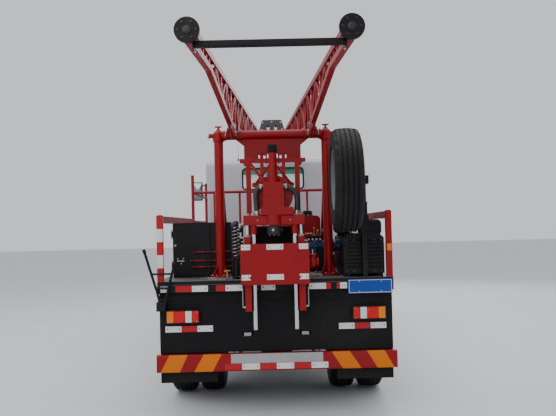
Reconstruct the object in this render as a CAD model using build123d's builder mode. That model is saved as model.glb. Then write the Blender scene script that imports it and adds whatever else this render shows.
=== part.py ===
from build123d import *

import os
from math import atan2, cos, degrees, hypot, radians, sin

os.makedirs("parts", exist_ok=True)

# A truck-mounted drilling rig, in millimetres. +Z is up from the ground, +Y is the driving direction and
# +X is the truck's right-hand side. The origin is on the ground under the middle of the whole machine.
# Stations along the truck are given as distances ahead of the deck's rear edge.

# Whole machine
truck_length = 7600
truck_width = 2400

# Wheels and axles
tyre_radius = 510
tyre_width = 270
tyre_shoulder = 34
tread_rise = 12
rim_radius = 292
rim_wall = 12
twin_gap = 46
rear_tyre_outside = 1172
front_track_half = 985
rear_axle_ahead = 1150
front_axle_ahead = 6240
kingpin_x = 800
kingpin_radius = 20
stub_radius = 38
running_gap = 0.08
seat_gap = 0.3
move_gap = 6

# Chassis and deck
rail_x = 400
rail_height = 250
rail_flange = 75
rail_wall = 10
rail_top = 990
rail_start = 120
rail_end = 7420
deck_top = 1320
deck_thickness = 40
deck_half = 1180
deck_length = 5330
bearer_height = 60
side_board_drop = 130

# Portal that carries the mast
column_radius = 49
column_x = 568
column_flange = 118
column_ahead = 420
hinge_ahead = 280
hinge_height = 2820
beam_radius = 48
beam_half = 640
ear_thickness = 14
ear_radius = 62
pin_radius = 24

# Lattice mast, drawn lying forward; s runs forward along it from the hinge and t stands up from it
mast_tilt = 1.0
leg_x = 430
leg_splay = 0.05
chord = 50
brace = 28
upper_t = 475
lower_t_hinge = 102
lower_t_front = 262
shin_t = 367
shin_s = -1620
foot_s = -2630
crown_s = 6060
foot_radius = 89
foot_thickness = 30
foot_bar_t = 340

# Lift cylinder between the deck and the mast
lift_s = 450
lift_t = -250
lift_base_ahead = hinge_ahead + 350
lift_base_height = hinge_height - 1250
lift_bore_radius = 55
lift_rod_radius = 32
lift_eye_radius = 46
lift_eye_half = 34
lift_cheek_gap = 26

# Drill feed behind the deck's rear edge
drill_ahead = -120
feed_x = 265
feed_barrel = 62
feed_bottom = 1020
feed_barrel_top = 1750
feed_rod_radius = 18
guide_x = 202
guide_radius = 22.5
guide_bottom = 840
post_x = 245
post_width = 50
post_ahead = 30
crosshead_bottom = 1860
crosshead_height = 100
crosshead_half = 300
feed_travel = 450
cover_half = 335
cover_bottom = 1282
cover_top = 1680
cover_ahead = -215
head_height = 320
swivel_radius = 42
swivel_top = hinge_height - 170
spindle_bore_radius = 30
spindle_bore_length = 80

# Cab
cab_rear_ahead = 5600
cab_wall = 42
cab_floor = 1130
cab_roof = 3030
cab_half = 1190
arch_radius = 610
door_gap = 6
door_thickness = 40
hinge_out = 14
hinge_lug = 8
hinge_knuckle = 12
hinge_pin = 6
hinge_span = 70

# Jacks behind the cab
jack_ahead = 4720
jack_x = 1020
jack_radius = 52
jack_rod_radius = 36
jack_top = 1270
jack_foot_radius = 120
jack_travel = 465
jack_bottom = jack_travel + 55

# Rear-end fittings
bumper_bottom = 415
bumper_height = 172
bumper_depth = 70
panel_ahead = 60
lamp_x = 933
lamp_width = 336
lamp_height = 136
lamp_centre = 965

sides = (("left", -1), ("right", 1))

# Stations that follow from the driving dimensions
tilt = radians(mast_tilt)
pad_face_s = foot_s / hypot(1, leg_splay) - chord / 2 * leg_splay - seat_gap
pad_s = pad_face_s - foot_thickness
mast_overhang = -pad_s * cos(tilt) + ((shin_t + upper_t) / 2 + foot_radius) * sin(tilt) - hinge_ahead
deck_rear = (mast_overhang - truck_length) / 2
deck_bottom = deck_top - deck_thickness
rail_bottom = rail_top - rail_height


def station(ahead):
    """Row position along the truck of a place given ahead of the deck's rear edge."""
    return deck_rear + ahead


def across(ahead):
    """Plane that looks forward along the truck: its x is the truck's X and its y is up."""
    return Plane.XZ.offset(-station(ahead))


def along(x):
    """Plane that looks from the truck's right: its x is forward and its y is up."""
    return Plane.YZ.offset(x)


def block(x_span, ahead_span, z_span, mode=Mode.ADD):
    """Square-cut block between two places on each axis."""
    middle = [(span[0] + span[1]) / 2 for span in (x_span, ahead_span, z_span)]
    size = [abs(span[1] - span[0]) for span in (x_span, ahead_span, z_span)]
    with Locations((middle[0], station(middle[1]), middle[2])):
        Box(*size, mode=mode)


def rod_x(x_span, ahead, z, radius, mode=Mode.ADD):
    """Round bar across the truck."""
    with Locations(Location(((x_span[0] + x_span[1]) / 2, station(ahead), z), (0, 90, 0))):
        Cylinder(radius, abs(x_span[1] - x_span[0]), mode=mode)


def rod_y(x, ahead_span, z, radius, mode=Mode.ADD):
    """Round bar along the truck."""
    with Locations(Location((x, station((ahead_span[0] + ahead_span[1]) / 2), z), (90, 0, 0))):
        Cylinder(radius, abs(ahead_span[1] - ahead_span[0]), mode=mode)


def rod_z(x, ahead, z_span, radius, mode=Mode.ADD):
    """Upright round bar."""
    with Locations((x, station(ahead), (z_span[0] + z_span[1]) / 2)):
        Cylinder(radius, abs(z_span[1] - z_span[0]), mode=mode)


def strut(start, end, radius):
    """Round bar between two points given as (x, ahead, z)."""
    low = Vector(start[0], station(start[1]), start[2])
    high = Vector(end[0], station(end[1]), end[2])
    with Locations(Plane(origin=low, z_dir=high - low).location):
        Cylinder(radius, (high - low).length, align=(Align.CENTER, Align.CENTER, Align.MIN))


def bar(start, end, width, tail=0.0):
    """Flat bar in a sketch between two points, lengthened by tail at both ends."""
    run = Vector(*end) - Vector(*start)
    middle = (Vector(*start) + Vector(*end)) / 2
    angle = degrees(atan2(run.Y, run.X))
    with Locations(Location((middle.X, middle.Y, 0), (0, 0, angle))):
        Rectangle(run.length + 2 * tail, width)


# Chassis: two channel rails that face each other, joined by cross members
cross_bearers = (90, rear_axle_ahead - 450, rear_axle_ahead + 450, 2350, 3150, 3950, 4600, deck_length - 60)
bearer_half = 1130
with BuildPart() as chassis_frame:
    for side_name, side in sides:
        with BuildSketch(across(rail_start)):
            with Locations((side * (rail_x + rail_wall / 2), rail_top - rail_height / 2)):
                Rectangle(rail_wall, rail_height)
            for flange_z in (rail_top - rail_wall / 2, rail_bottom + rail_wall / 2):
                with Locations((side * (rail_x + rail_wall - rail_flange / 2), flange_z)):
                    Rectangle(rail_flange, rail_wall)
        extrude(amount=-(rail_end - rail_start))
    for member_ahead in (rail_start + 60, 1980, 3300, 4600, rail_end - 60):
        block((-rail_x, rail_x), (member_ahead - 40, member_ahead + 40), (rail_bottom + 40, rail_top - 40))
    # mounts that carry the cab on the rails
    for side_name, side in sides:
        for mount_ahead in (cab_rear_ahead + 90, rail_end - 90):
            block((side * (rail_x - 50), side * (rail_x + rail_wall)), (mount_ahead - 50, mount_ahead + 50),
                  (rail_top, cab_floor - seat_gap))
    # outriggers and barrels of the two jacks
    for side_name, side in sides:
        block((side * rail_x, side * jack_x), (jack_ahead - 45, jack_ahead + 45),
              (rail_top - 120, rail_top))
        block((side * (rail_x + rail_wall + seat_gap), side * jack_x), (jack_ahead - 45, jack_ahead + 45),
              (rail_top - 10, rail_top + 60))
        rod_z(side * jack_x, jack_ahead, (jack_bottom, jack_top), jack_radius)
        rod_z(side * jack_x, jack_ahead, (jack_bottom - 1, jack_top - 60), jack_rod_radius + running_gap,
              Mode.SUBTRACT)
chassis_frame.part.label = "chassis_frame"
export_step(chassis_frame.part, "parts/chassis_frame.step")

# Subframe: two bearers along the rails, with cross bearers under the deck
with BuildPart() as subframe:
    for side_name, side in sides:
        block((side * (rail_x - 60), side * (rail_x + rail_wall)), (cross_bearers[0] - 25, deck_length),
              (rail_top + seat_gap, deck_bottom - bearer_height))
    for bearer_ahead in cross_bearers:
        block((-bearer_half, bearer_half), (bearer_ahead - 25, bearer_ahead + 25),
              (deck_bottom - bearer_height, deck_bottom - seat_gap))
subframe.part.label = "subframe"
export_step(subframe.part, "parts/subframe.step")

# Deck: flat plate with a turned-down edge along both sides
with BuildPart() as deck:
    block((-deck_half, deck_half), (0, deck_length), (deck_bottom, deck_top))
    for side_name, side in sides:
        block((side * (deck_half - 6), side * deck_half), (0, deck_length),
              (deck_top - side_board_drop, deck_bottom))
    fillet(deck.edges().filter_by(Axis.Y).group_by(Axis.Z)[-1], 8)
deck.part.label = "deck"
export_step(deck.part, "parts/deck.step")

# Rear bumper: a folded beam on two brackets from the chassis rails
with BuildPart() as rear_bumper:
    block((-truck_width / 2, truck_width / 2), (0, bumper_depth),
          (bumper_bottom, bumper_bottom + bumper_height))
    fillet(rear_bumper.edges().filter_by(Axis.X).group_by(Axis.Y)[0], 14)
    for side_name, side in sides:
        with BuildSketch(along(side * (rail_x - 30))):
            with BuildLine():
                Polyline((station(bumper_depth), bumper_bottom + 20), (station(bumper_depth),
                         bumper_bottom + bumper_height - 10), (station(rail_start + 60), rail_bottom),
                         (station(rail_start + 260), rail_bottom), close=True)
            make_face()
        extrude(amount=12, both=True)
rear_bumper.part.label = "rear_bumper"
export_step(rear_bumper.part, "parts/rear_bumper.step")

# Rear panel: the black wall from the deck edge down to the bumper, with two holes beside the chassis rails
panel_half = deck_half - 12
panel_top = deck_bottom - bearer_height - 2
panel_bottom = bumper_bottom + bumper_height + 14
flap_inner = 600
flap_ahead = bumper_depth + 12
flap_bottom = 300
with BuildPart() as rear_panel:
    with BuildSketch(across(panel_ahead)):
        with Locations((0, (panel_top + panel_bottom) / 2)):
            Rectangle(2 * panel_half, panel_top - panel_bottom)
        with Locations((-290, 775), (290, 775)):
            RectangleRounded(110, 44, 12, mode=Mode.SUBTRACT)
    extrude(amount=4)
    block((-panel_half, panel_half), (panel_ahead - 12, panel_ahead), (1090, 1110))
    # mud flaps that hang behind the bumper, in front of the wheels
    for side_name, side in sides:
        block((side * flap_inner, side * panel_half), (panel_ahead, flap_ahead), (panel_bottom + 60,
              panel_bottom + 100))
        block((side * flap_inner, side * panel_half), (flap_ahead - 6, flap_ahead), (flap_bottom,
              panel_bottom + 100))
    for side_name, side in sides:
        block((side * 1080, side * 1110), (panel_ahead - 4, 90), (deck_bottom - bearer_height - 60,
              deck_bottom - bearer_height))
rear_panel.part.label = "rear_panel"
export_step(rear_panel.part, "parts/rear_panel.step")

# Tail lamps: one long housing each side, with four lenses side by side
with BuildPart() as tail_lamps:
    for side_name, side in sides:
        block((side * (lamp_x - lamp_width / 2), side * (lamp_x + lamp_width / 2)), (8, panel_ahead - 12),
              (lamp_centre - lamp_height / 2, lamp_centre + lamp_height / 2))
    fillet(tail_lamps.edges().filter_by(Axis.Y), 18)
    for side_name, side in sides:
        block((side * (lamp_x - 100), side * (lamp_x + 100)), (panel_ahead - 12, panel_ahead - 4),
              (lamp_centre - 30, lamp_centre + 30))
tail_lamps.part.label = "tail_lamps"
export_step(tail_lamps.part, "parts/tail_lamps.step")

# Axles: a round rear axle with a final-drive bulge, and a forged front beam with kingpin bosses
rear_inner_x = rear_tyre_outside - 2 * tyre_width - twin_gap
spring_inside = rail_x + rail_wall + 5
spring_outside = spring_inside + 60
spring_seat = tyre_radius + 82
spring_half = 620
rear_stub_radius = stub_radius + 12


def wheel_plane(ahead, height):
    """Plane through a wheel's axis: its x is across the truck and its y is the radius."""
    return Plane(origin=(0, station(ahead), height), x_dir=(1, 0, 0), z_dir=(0, -1, 0))


def spring_outline(axle_ahead):
    """Lines round a leaf spring pack, thick at the axle and thin at its ends."""
    back, front = station(axle_ahead - spring_half), station(axle_ahead + spring_half)
    ThreePointArc((back, rail_bottom - 40), (station(axle_ahead), spring_seat), (front, rail_bottom - 40))
    Line((front, rail_bottom - 40), (front, rail_bottom - 22))
    ThreePointArc((front, rail_bottom - 22), (station(axle_ahead), spring_seat + 68),
                  (back, rail_bottom - 22))
    Line((back, rail_bottom - 22), (back, rail_bottom - 40))


def spring_hangers(side, axle_ahead):
    """Hangers that hold both ends of a spring on the outside of the rail."""
    for end in (-1, 1):
        hanger = axle_ahead + end * spring_half
        block((side * (rail_x + rail_wall + seat_gap), side * (spring_outside + 8)),
              (hanger - 30, hanger + 30), (rail_bottom - 60, rail_bottom + 60))

with BuildPart() as rear_axle:
    with BuildSketch(wheel_plane(rear_axle_ahead, tyre_radius)):
        with BuildLine():
            Polyline((-rear_inner_x - 20, 0), (-rear_inner_x - 20, 66), (-230, 66), (-150, 120))
            ThreePointArc((-150, 120), (0, 185), (150, 120))
            Polyline((150, 120), (230, 66), (rear_inner_x + 20, 66), (rear_inner_x + 20, 0),
                     (-rear_inner_x - 20, 0))
        make_face()
    revolve(axis=Axis((0, station(rear_axle_ahead), tyre_radius), (1, 0, 0)), revolution_arc=360)
    for side_name, side in sides:
        rod_x((side * rear_inner_x, side * (rear_tyre_outside - 150)), rear_axle_ahead, tyre_radius,
              rear_stub_radius)
        block((side * spring_inside, side * spring_outside), (rear_axle_ahead - 60, rear_axle_ahead + 60),
              (tyre_radius + 40, spring_seat + 10))
    for side_name, side in sides:
        with BuildSketch(along(side * (spring_inside + spring_outside) / 2)):
            with BuildLine():
                spring_outline(rear_axle_ahead)
            make_face()
        extrude(amount=(spring_outside - spring_inside) / 2, both=True)
        spring_hangers(side, rear_axle_ahead)
rear_axle.part.label = "rear_axle"
export_step(rear_axle.part, "parts/rear_axle.step")

with BuildPart() as front_axle:
    with BuildSketch(across(front_axle_ahead - 45)):
        with BuildLine():
            Polyline((-kingpin_x, tyre_radius + 45), (-kingpin_x, tyre_radius - 45),
                     (-640, tyre_radius - 60), (-470, tyre_radius - 130), (470, tyre_radius - 130),
                     (640, tyre_radius - 60),
                     (kingpin_x, tyre_radius - 45), (kingpin_x, tyre_radius + 45),
                     (620, tyre_radius + 40), (450, tyre_radius - 40), (-450, tyre_radius - 40),
                     (-620, tyre_radius + 40), close=True)
        make_face()
    extrude(amount=-90)
    for side_name, side in sides:
        rod_z(side * kingpin_x, front_axle_ahead, (tyre_radius - 65, tyre_radius + 65), 48)
        rod_z(side * kingpin_x, front_axle_ahead, (tyre_radius - 70, tyre_radius + 70), kingpin_radius
              + running_gap, Mode.SUBTRACT)
        block((side * spring_inside, side * spring_outside), (front_axle_ahead - 45, front_axle_ahead + 45),
              (tyre_radius - 42, spring_seat + 10))
        with BuildSketch(along(side * (spring_inside + spring_outside) / 2)):
            with BuildLine():
                spring_outline(front_axle_ahead)
            make_face()
        extrude(amount=(spring_outside - spring_inside) / 2, both=True)
        spring_hangers(side, front_axle_ahead)
front_axle.part.label = "front_axle"
export_step(front_axle.part, "parts/front_axle.step")

def tyre_section(x_middle, bead):
    """Corners of a tyre's section above its axis, from the bead out to the tread, as (x, radius)."""
    crown = tyre_radius - tread_rise
    half_section = ((26, bead), (6, bead + 40), (0, bead + 105), (8, crown - tyre_shoulder),
                    (tyre_shoulder, crown))
    right = [(x_middle + tyre_width / 2 - inset, radius) for inset, radius in half_section]
    left = [(2 * x_middle - x, radius) for x, radius in reversed(right)]
    return right + [(x_middle, tyre_radius)] + left


def spun(ahead, height):
    """Full turn about a wheel's axis."""
    revolve(axis=Axis((0, station(ahead), height), (1, 0, 0)), revolution_arc=360)


def rim_parts(x_middle, hub_radius, hub_span, disc_edge_x, disc_hub_x):
    """Section of a steel rim above its axis: the well, the dished disc and the hub."""
    half = tyre_width / 2 - 12
    inner = rim_radius - rim_wall
    Polygon((disc_edge_x - 7, inner + 2), (disc_edge_x + 7, inner + 2), (disc_hub_x + 7, hub_radius + 30),
            (disc_hub_x - 7, hub_radius + 30), align=None)
    for x_span, radius_span in (((x_middle - half, x_middle + half), (inner, rim_radius)),
                                (hub_span, (hub_radius, hub_radius + 62))):
        with Locations(((x_span[0] + x_span[1]) / 2, (radius_span[0] + radius_span[1]) / 2)):
            Rectangle(abs(x_span[1] - x_span[0]), radius_span[1] - radius_span[0])


# Front wheels: single tyres on steered stubs
bead_radius = rim_radius + seat_gap
for side_name, side in sides:
    with BuildPart() as front_tyre:
        with BuildSketch(wheel_plane(front_axle_ahead, tyre_radius)):
            with BuildLine():
                Polyline(*tyre_section(side * front_track_half, bead_radius), close=True)
            make_face()
        spun(front_axle_ahead, tyre_radius)
    front_tyre.part.label = f"front_tyre_{side_name}"
    export_step(front_tyre.part, f"parts/front_tyre_{side_name}.step")

    hub_inside = side * (front_track_half - 60)
    hub_outside = side * (front_track_half + 70)
    with BuildPart() as front_rim:
        with BuildSketch(wheel_plane(front_axle_ahead, tyre_radius)):
            rim_parts(side * front_track_half, stub_radius + running_gap, (hub_inside, hub_outside),
                      side * (front_track_half + 20), side * (front_track_half + 48))
        spun(front_axle_ahead, tyre_radius)
    front_rim.part.label = f"front_rim_{side_name}"
    export_step(front_rim.part, f"parts/front_rim_{side_name}.step")

    # Steering knuckle: kingpin held by two lugs, with the stub that carries the hub
    with BuildPart() as knuckle:
        rod_z(side * kingpin_x, front_axle_ahead, (tyre_radius - 92, tyre_radius + 92), kingpin_radius)
        for lug_z in (tyre_radius - 82, tyre_radius + 82):
            block((side * (kingpin_x - 40), side * (kingpin_x + 84)), (front_axle_ahead - 42,
                  front_axle_ahead + 42), (lug_z - 14, lug_z + 14))
        block((side * (kingpin_x + 60), side * (kingpin_x + 84)),
              (front_axle_ahead - 60, front_axle_ahead + 60), (tyre_radius - 96, tyre_radius + 96))
        rod_x((side * (kingpin_x + 84), side * (front_track_half + 76)), front_axle_ahead, tyre_radius,
              stub_radius)
        rod_x((side * (front_track_half + 70 + seat_gap), side * (front_track_half + 86)), front_axle_ahead,
              tyre_radius, stub_radius + 10)
        rod_x((side * (kingpin_x + 84), side * (front_track_half - 60 - seat_gap)), front_axle_ahead,
              tyre_radius, stub_radius + 16)
    knuckle.part.label = f"knuckle_{side_name}"
    export_step(knuckle.part, f"parts/knuckle_{side_name}.step")

# Rear wheels: twin tyres a side that turn together
for side_name, side in sides:
    outer_x = side * (rear_tyre_outside - tyre_width / 2)
    inner_x = side * (rear_tyre_outside - tyre_width * 1.5 - twin_gap)
    with BuildPart() as rear_tyres:
        for tyre_x in (outer_x, inner_x):
            with BuildSketch(wheel_plane(rear_axle_ahead, tyre_radius)):
                with BuildLine():
                    Polyline(*tyre_section(tyre_x, bead_radius), close=True)
                make_face()
            spun(rear_axle_ahead, tyre_radius)
    rear_tyres.part.label = f"rear_tyres_{side_name}"
    export_step(rear_tyres.part, f"parts/rear_tyres_{side_name}.step")

    disc_x = (outer_x + inner_x) / 2
    rear_bore = rear_stub_radius + running_gap
    rear_hub = (disc_x - side * 60, disc_x + side * 130)
    with BuildPart() as rear_rims:
        with BuildSketch(wheel_plane(rear_axle_ahead, tyre_radius)):
            for rim_x, inward in ((outer_x, side), (inner_x, -side)):
                disc_edge_x = rim_x - inward * (tyre_width / 2 - 22)
                rim_parts(rim_x, rear_bore, rear_hub, disc_edge_x, disc_x + inward * 7)
        spun(rear_axle_ahead, tyre_radius)
    rear_rims.part.label = f"rear_rims_{side_name}"
    export_step(rear_rims.part, f"parts/rear_rims_{side_name}.step")

# Mudguards: rolled sheets over the twin wheels, and wings that fill the corners under the cab
cab_front_ahead = truck_length - 60
windscreen_foot = 1960
guard_gap = 85
wing_inside = 620
wing_top = cab_floor - seat_gap


def guard_top_at(offset):
    """Height of the mudguard's outside, at an offset along the truck from its axle."""
    return tyre_radius + ((tyre_radius + guard_gap + 2) ** 2 - offset ** 2) ** 0.5


with BuildPart() as mudguards:
    for side_name, side in sides:
        with BuildSketch(along(side * (rear_inner_x - 10))):
            with Locations((station(rear_axle_ahead), tyre_radius)):
                Circle(tyre_radius + guard_gap + 5)
                Circle(tyre_radius + guard_gap, mode=Mode.SUBTRACT)
                with Locations((0, -tyre_radius / 2 - 150)):
                    Rectangle(3 * tyre_radius, tyre_radius * 2 - 20, mode=Mode.SUBTRACT)
        extrude(amount=side * (rear_tyre_outside - rear_inner_x - 10))
        for end in (-1, 1):
            stay_ahead = rear_axle_ahead + end * 450
            block((side * 700, side * 740), (stay_ahead - 14, stay_ahead + 14),
                  (guard_top_at(450), deck_bottom - bearer_height - seat_gap))
    # front wings: arched boxes that fill the corners under the cab
    for side_name, side in sides:
        with BuildSketch(along(side * wing_inside)):
            with BuildLine():
                Polyline((station(cab_rear_ahead), wing_top), (station(cab_rear_ahead), 900),
                         (station(cab_rear_ahead + 60), 620), (station(cab_front_ahead - 60), 620),
                         (station(cab_front_ahead), 700), (station(cab_front_ahead), wing_top), close=True)
            make_face()
            with Locations((station(front_axle_ahead), tyre_radius)):
                Circle(arch_radius, mode=Mode.SUBTRACT)
        extrude(amount=side * (cab_half - wing_inside))
mudguards.part.label = "mudguards"
export_step(mudguards.part, "parts/mudguards.step")

# Cab shell: outer profile minus inner profile, then windows, door holes and wheel arches cut through
def cab_profile(inset):
    """Corners of the cab's side outline, moved inwards by inset."""
    rear = station(cab_rear_ahead + inset)
    front = station(cab_front_ahead - inset)
    return ((rear, cab_floor + inset), (rear, cab_roof - inset),
            (station(cab_front_ahead - 330) - inset, cab_roof - inset), (front - 40, windscreen_foot),
            (front, windscreen_foot - 240), (front, cab_floor + inset))


door_back = cab_rear_ahead + 560
door_front = cab_front_ahead - 330
sill = cab_floor + 60
door_hinge_ahead = door_front - door_gap / 2
door_hinges_z = (1400, 1850)
door_top = 2850
screen_middle = (windscreen_foot + cab_roof) / 2 - 20
screen_height = cab_roof - windscreen_foot - 210
rear_window_middle = 2690
rear_window_width = 1070
rear_window_height = 370
side_window_middle = 2380
side_window_length = 280
side_window_height = 560
with BuildPart() as cab_shell:
    with BuildSketch(along(0)):
        with BuildLine():
            FilletPolyline(*cab_profile(0), radius=95, close=True)
        make_face()
    extrude(amount=cab_half, both=True)
    fillet(cab_shell.edges().filter_by(Axis.Y).group_by(Axis.Z)[-1], 70)
    with BuildSketch(along(0)):
        with BuildLine():
            FilletPolyline(*cab_profile(cab_wall), radius=60, close=True)
        make_face()
    extrude(amount=cab_half - cab_wall, both=True, mode=Mode.SUBTRACT)
    # windscreen, rear window and quarter windows
    with BuildSketch(Plane.XZ.offset(-station(cab_front_ahead))):
        with Locations((0, screen_middle)):
            RectangleRounded(2 * cab_half - 300, screen_height, 70)
    extrude(amount=480, both=True, mode=Mode.SUBTRACT)
    with BuildSketch(across(cab_rear_ahead)):
        with Locations((0, rear_window_middle)):
            RectangleRounded(rear_window_width, rear_window_height, 60)
    extrude(amount=cab_wall + 30, both=True, mode=Mode.SUBTRACT)
    with BuildSketch(along(0)):
        with Locations((station(cab_rear_ahead + 320), side_window_middle)):
            RectangleRounded(side_window_length, side_window_height, 50)
    extrude(amount=cab_half + 10, both=True, mode=Mode.SUBTRACT)
    # door holes
    with BuildSketch(along(0)):
        with BuildLine():
            FilletPolyline((station(door_back), sill), (station(door_back), door_top),
                           (station(door_front - 200), door_top), (station(door_front), windscreen_foot),
                           (station(door_front), sill), radius=40, close=True)
        make_face()
    extrude(amount=cab_half + 10, both=True, mode=Mode.SUBTRACT)
    # straps and pins of the door hinges
    for side_name, side in sides:
        hinge_x = side * (cab_half + hinge_out)
        for hinge_z in door_hinges_z:
            rod_z(hinge_x, door_hinge_ahead, (hinge_z - hinge_span / 2 - 24, hinge_z + hinge_span / 2 + 24),
                  hinge_pin)
            for end in (-1, 1):
                strap_z = hinge_z + end * (hinge_span / 2 + 15)
                block((side * (cab_half + hinge_out - hinge_lug), side * (cab_half + hinge_out + hinge_lug)),
                      (door_hinge_ahead - hinge_lug, door_hinge_ahead + hinge_lug),
                      (strap_z - 9, strap_z + 9))
                block((side * (cab_half - 4), side * (cab_half + hinge_out)), (door_hinge_ahead + 4,
                      door_hinge_ahead + 52), (strap_z - 9, strap_z + 9))
cab_shell.part.label = "cab_shell"
export_step(cab_shell.part, "parts/cab_shell.step")

# Doors: the panels that fill the door holes, as thick as the whole door, with their window openings
for side_name, side in sides:
    with BuildPart() as cab_door:
        with BuildSketch(along(side * (cab_half - door_thickness))):
            with BuildLine():
                FilletPolyline((station(door_back + door_gap), sill + door_gap),
                               (station(door_back + door_gap), door_top - door_gap),
                               (station(door_front - 200 - door_gap), door_top - door_gap),
                               (station(door_front - door_gap), windscreen_foot - door_gap),
                               (station(door_front - door_gap), sill + door_gap), radius=36, close=True)
            make_face()
            with BuildLine():
                FilletPolyline((station(door_back + 90), 2020), (station(door_back + 90), door_top - 80),
                               (station(door_front - 280), door_top - 80),
                               (station(door_front - 110), 2020), radius=50, close=True)
            make_face(mode=Mode.SUBTRACT)
        extrude(amount=side * door_thickness)
        block((side * cab_half, side * (cab_half + 24)), (door_back + 60, door_back + 190), (1880, 1910))
        for hinge_z in door_hinges_z:
            hinge_run = (hinge_z - hinge_span / 2, hinge_z + hinge_span / 2)
            block((side * (cab_half - 4), side * (cab_half + 6)),
                  (door_hinge_ahead - 90, door_hinge_ahead - 3), hinge_run)
            rod_z(side * (cab_half + hinge_out), door_hinge_ahead, hinge_run, hinge_knuckle)
            block((side * (cab_half + hinge_out - hinge_knuckle), side * (cab_half + 6)),
                  (door_hinge_ahead - 20, door_hinge_ahead), hinge_run)
            rod_z(side * (cab_half + hinge_out), door_hinge_ahead, (hinge_run[0] - 1, hinge_run[1] + 1),
                  hinge_pin + running_gap, Mode.SUBTRACT)
    cab_door.part.label = f"cab_door_{side_name}"
    export_step(cab_door.part, f"parts/cab_door_{side_name}.step")

# Cab windows: thin panes seated in the window holes
with BuildPart() as cab_glass:
    with BuildSketch(along(0)):
        with BuildLine():
            FilletPolyline(*cab_profile(16), radius=80, close=True)
        make_face()
    extrude(amount=cab_half - 16, both=True)
    with BuildSketch(along(0)):
        with BuildLine():
            FilletPolyline(*cab_profile(22), radius=76, close=True)
        make_face()
    extrude(amount=cab_half - 22, both=True, mode=Mode.SUBTRACT)
    with BuildSketch(Plane.XZ.offset(-station(cab_front_ahead))) as front_pane:
        with Locations((0, screen_middle)):
            RectangleRounded(2 * cab_half - 300 - 2 * seat_gap, screen_height - 2 * seat_gap, 70)
    with BuildSketch(across(cab_rear_ahead)) as rear_pane:
        with Locations((0, rear_window_middle)):
            RectangleRounded(rear_window_width - 2 * seat_gap, rear_window_height - 2 * seat_gap, 60)
    with BuildSketch(along(0)) as side_pane:
        with Locations((station(cab_rear_ahead + 320), side_window_middle)):
            RectangleRounded(side_window_length - 2 * seat_gap, side_window_height - 2 * seat_gap, 50)
    panes = (extrude(front_pane.sketch, amount=480, both=True, mode=Mode.PRIVATE)
             + extrude(rear_pane.sketch, amount=cab_wall + 30, both=True, mode=Mode.PRIVATE)
             + extrude(side_pane.sketch, amount=cab_half + 10, both=True, mode=Mode.PRIVATE))
    add(panes, mode=Mode.INTERSECT)
cab_glass.part.label = "cab_glass"
export_step(cab_glass.part, "parts/cab_glass.step")

# Seats: three squabs with their backs, against the rear wall
with BuildPart() as seats:
    for seat_x in (-720, 0, 720):
        with BuildSketch(along(seat_x)):
            with BuildLine():
                seat_back = station(cab_rear_ahead + cab_wall + 90)
                FilletPolyline((seat_back + 60, cab_floor + 300), (seat_back, 2190), (seat_back + 110, 2190),
                               (seat_back + 175, cab_floor + 440), (seat_back + 640, cab_floor + 470),
                               (seat_back + 650, cab_floor + 300), radius=38, close=True)
            make_face()
        extrude(amount=240, both=True)
        block((seat_x - 160, seat_x + 160), (cab_rear_ahead + 270, cab_rear_ahead + 640),
              (cab_floor + cab_wall, cab_floor + 302))
seats.part.label = "seats"
export_step(seats.part, "parts/seats.step")

# Dashboard with the steering column and wheel on its left
with BuildPart() as dashboard:
    dash_front = station(cab_front_ahead - cab_wall - 45)
    with BuildSketch(along(0)):
        with BuildLine():
            FilletPolyline((dash_front, cab_floor + 460), (dash_front, windscreen_foot - 70),
                           (dash_front - 300, windscreen_foot - 90),
                           (dash_front - 400, windscreen_foot - 250),
                           (dash_front - 260, cab_floor + 460), radius=40, close=True)
        make_face()
    extrude(amount=cab_half - cab_wall - 12, both=True)
    block((-1050, 1050), (cab_front_ahead - cab_wall - 200, cab_front_ahead - cab_wall - 70),
          (cab_floor + cab_wall + seat_gap, cab_floor + 480))
    strut((-720, cab_front_ahead - 380, 1780), (-720, cab_front_ahead - 640, 2010), 26)
    wheel_middle = Plane(origin=(-720, station(cab_front_ahead - 640), 2010), z_dir=(0, -0.749, 0.663))
    with Locations(wheel_middle.location):
        Torus(230, 15)
    for spoke_angle in (0, 120, 240):
        with Locations((wheel_middle * Rot(0, 0, spoke_angle) * Pos(112, 0, 0))):
            Box(230, 30, 12)
dashboard.part.label = "dashboard"
export_step(dashboard.part, "parts/dashboard.step")

# Front bumper with its lamps, grille slats above it and the beam's brackets to the rails
with BuildPart() as front_bumper:
    with BuildSketch(Plane.XY.offset(440)):
        with BuildLine():
            FilletPolyline((-1195, station(cab_front_ahead - 90)), (-1195, station(truck_length - 40)),
                           (-1060, station(truck_length)), (1060, station(truck_length)),
                           (1195, station(truck_length - 40)), (1195, station(cab_front_ahead - 90)),
                           radius=36, close=True)
        make_face()
    extrude(amount=170)
    with BuildSketch(Plane.XY.offset(439)):
        with Locations((0, station(cab_front_ahead - 130))):
            Rectangle(2290, 260)
    extrude(amount=172, mode=Mode.SUBTRACT)
    for side_name, side in sides:
        block((side * (rail_x - 30), side * (rail_x - 50)), (rail_end - 220, truck_length - 42),
              (440, rail_bottom - seat_gap))
        with Locations((side * 880, station(truck_length), 525)):
            Box(250, 16, 110, mode=Mode.SUBTRACT)
    for slat in range(7):
        slat_z = 1230 + slat * 66
        block((-820, 820), (cab_front_ahead + seat_gap, cab_front_ahead + 26), (slat_z, slat_z + 34))
    for frame_x in (-820, -300, 300, 820):
        block((frame_x - 12, frame_x + 12), (cab_front_ahead + seat_gap, cab_front_ahead + 22), (1210, 1680))
front_bumper.part.label = "front_bumper"
export_step(front_bumper.part, "parts/front_bumper.step")

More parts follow.
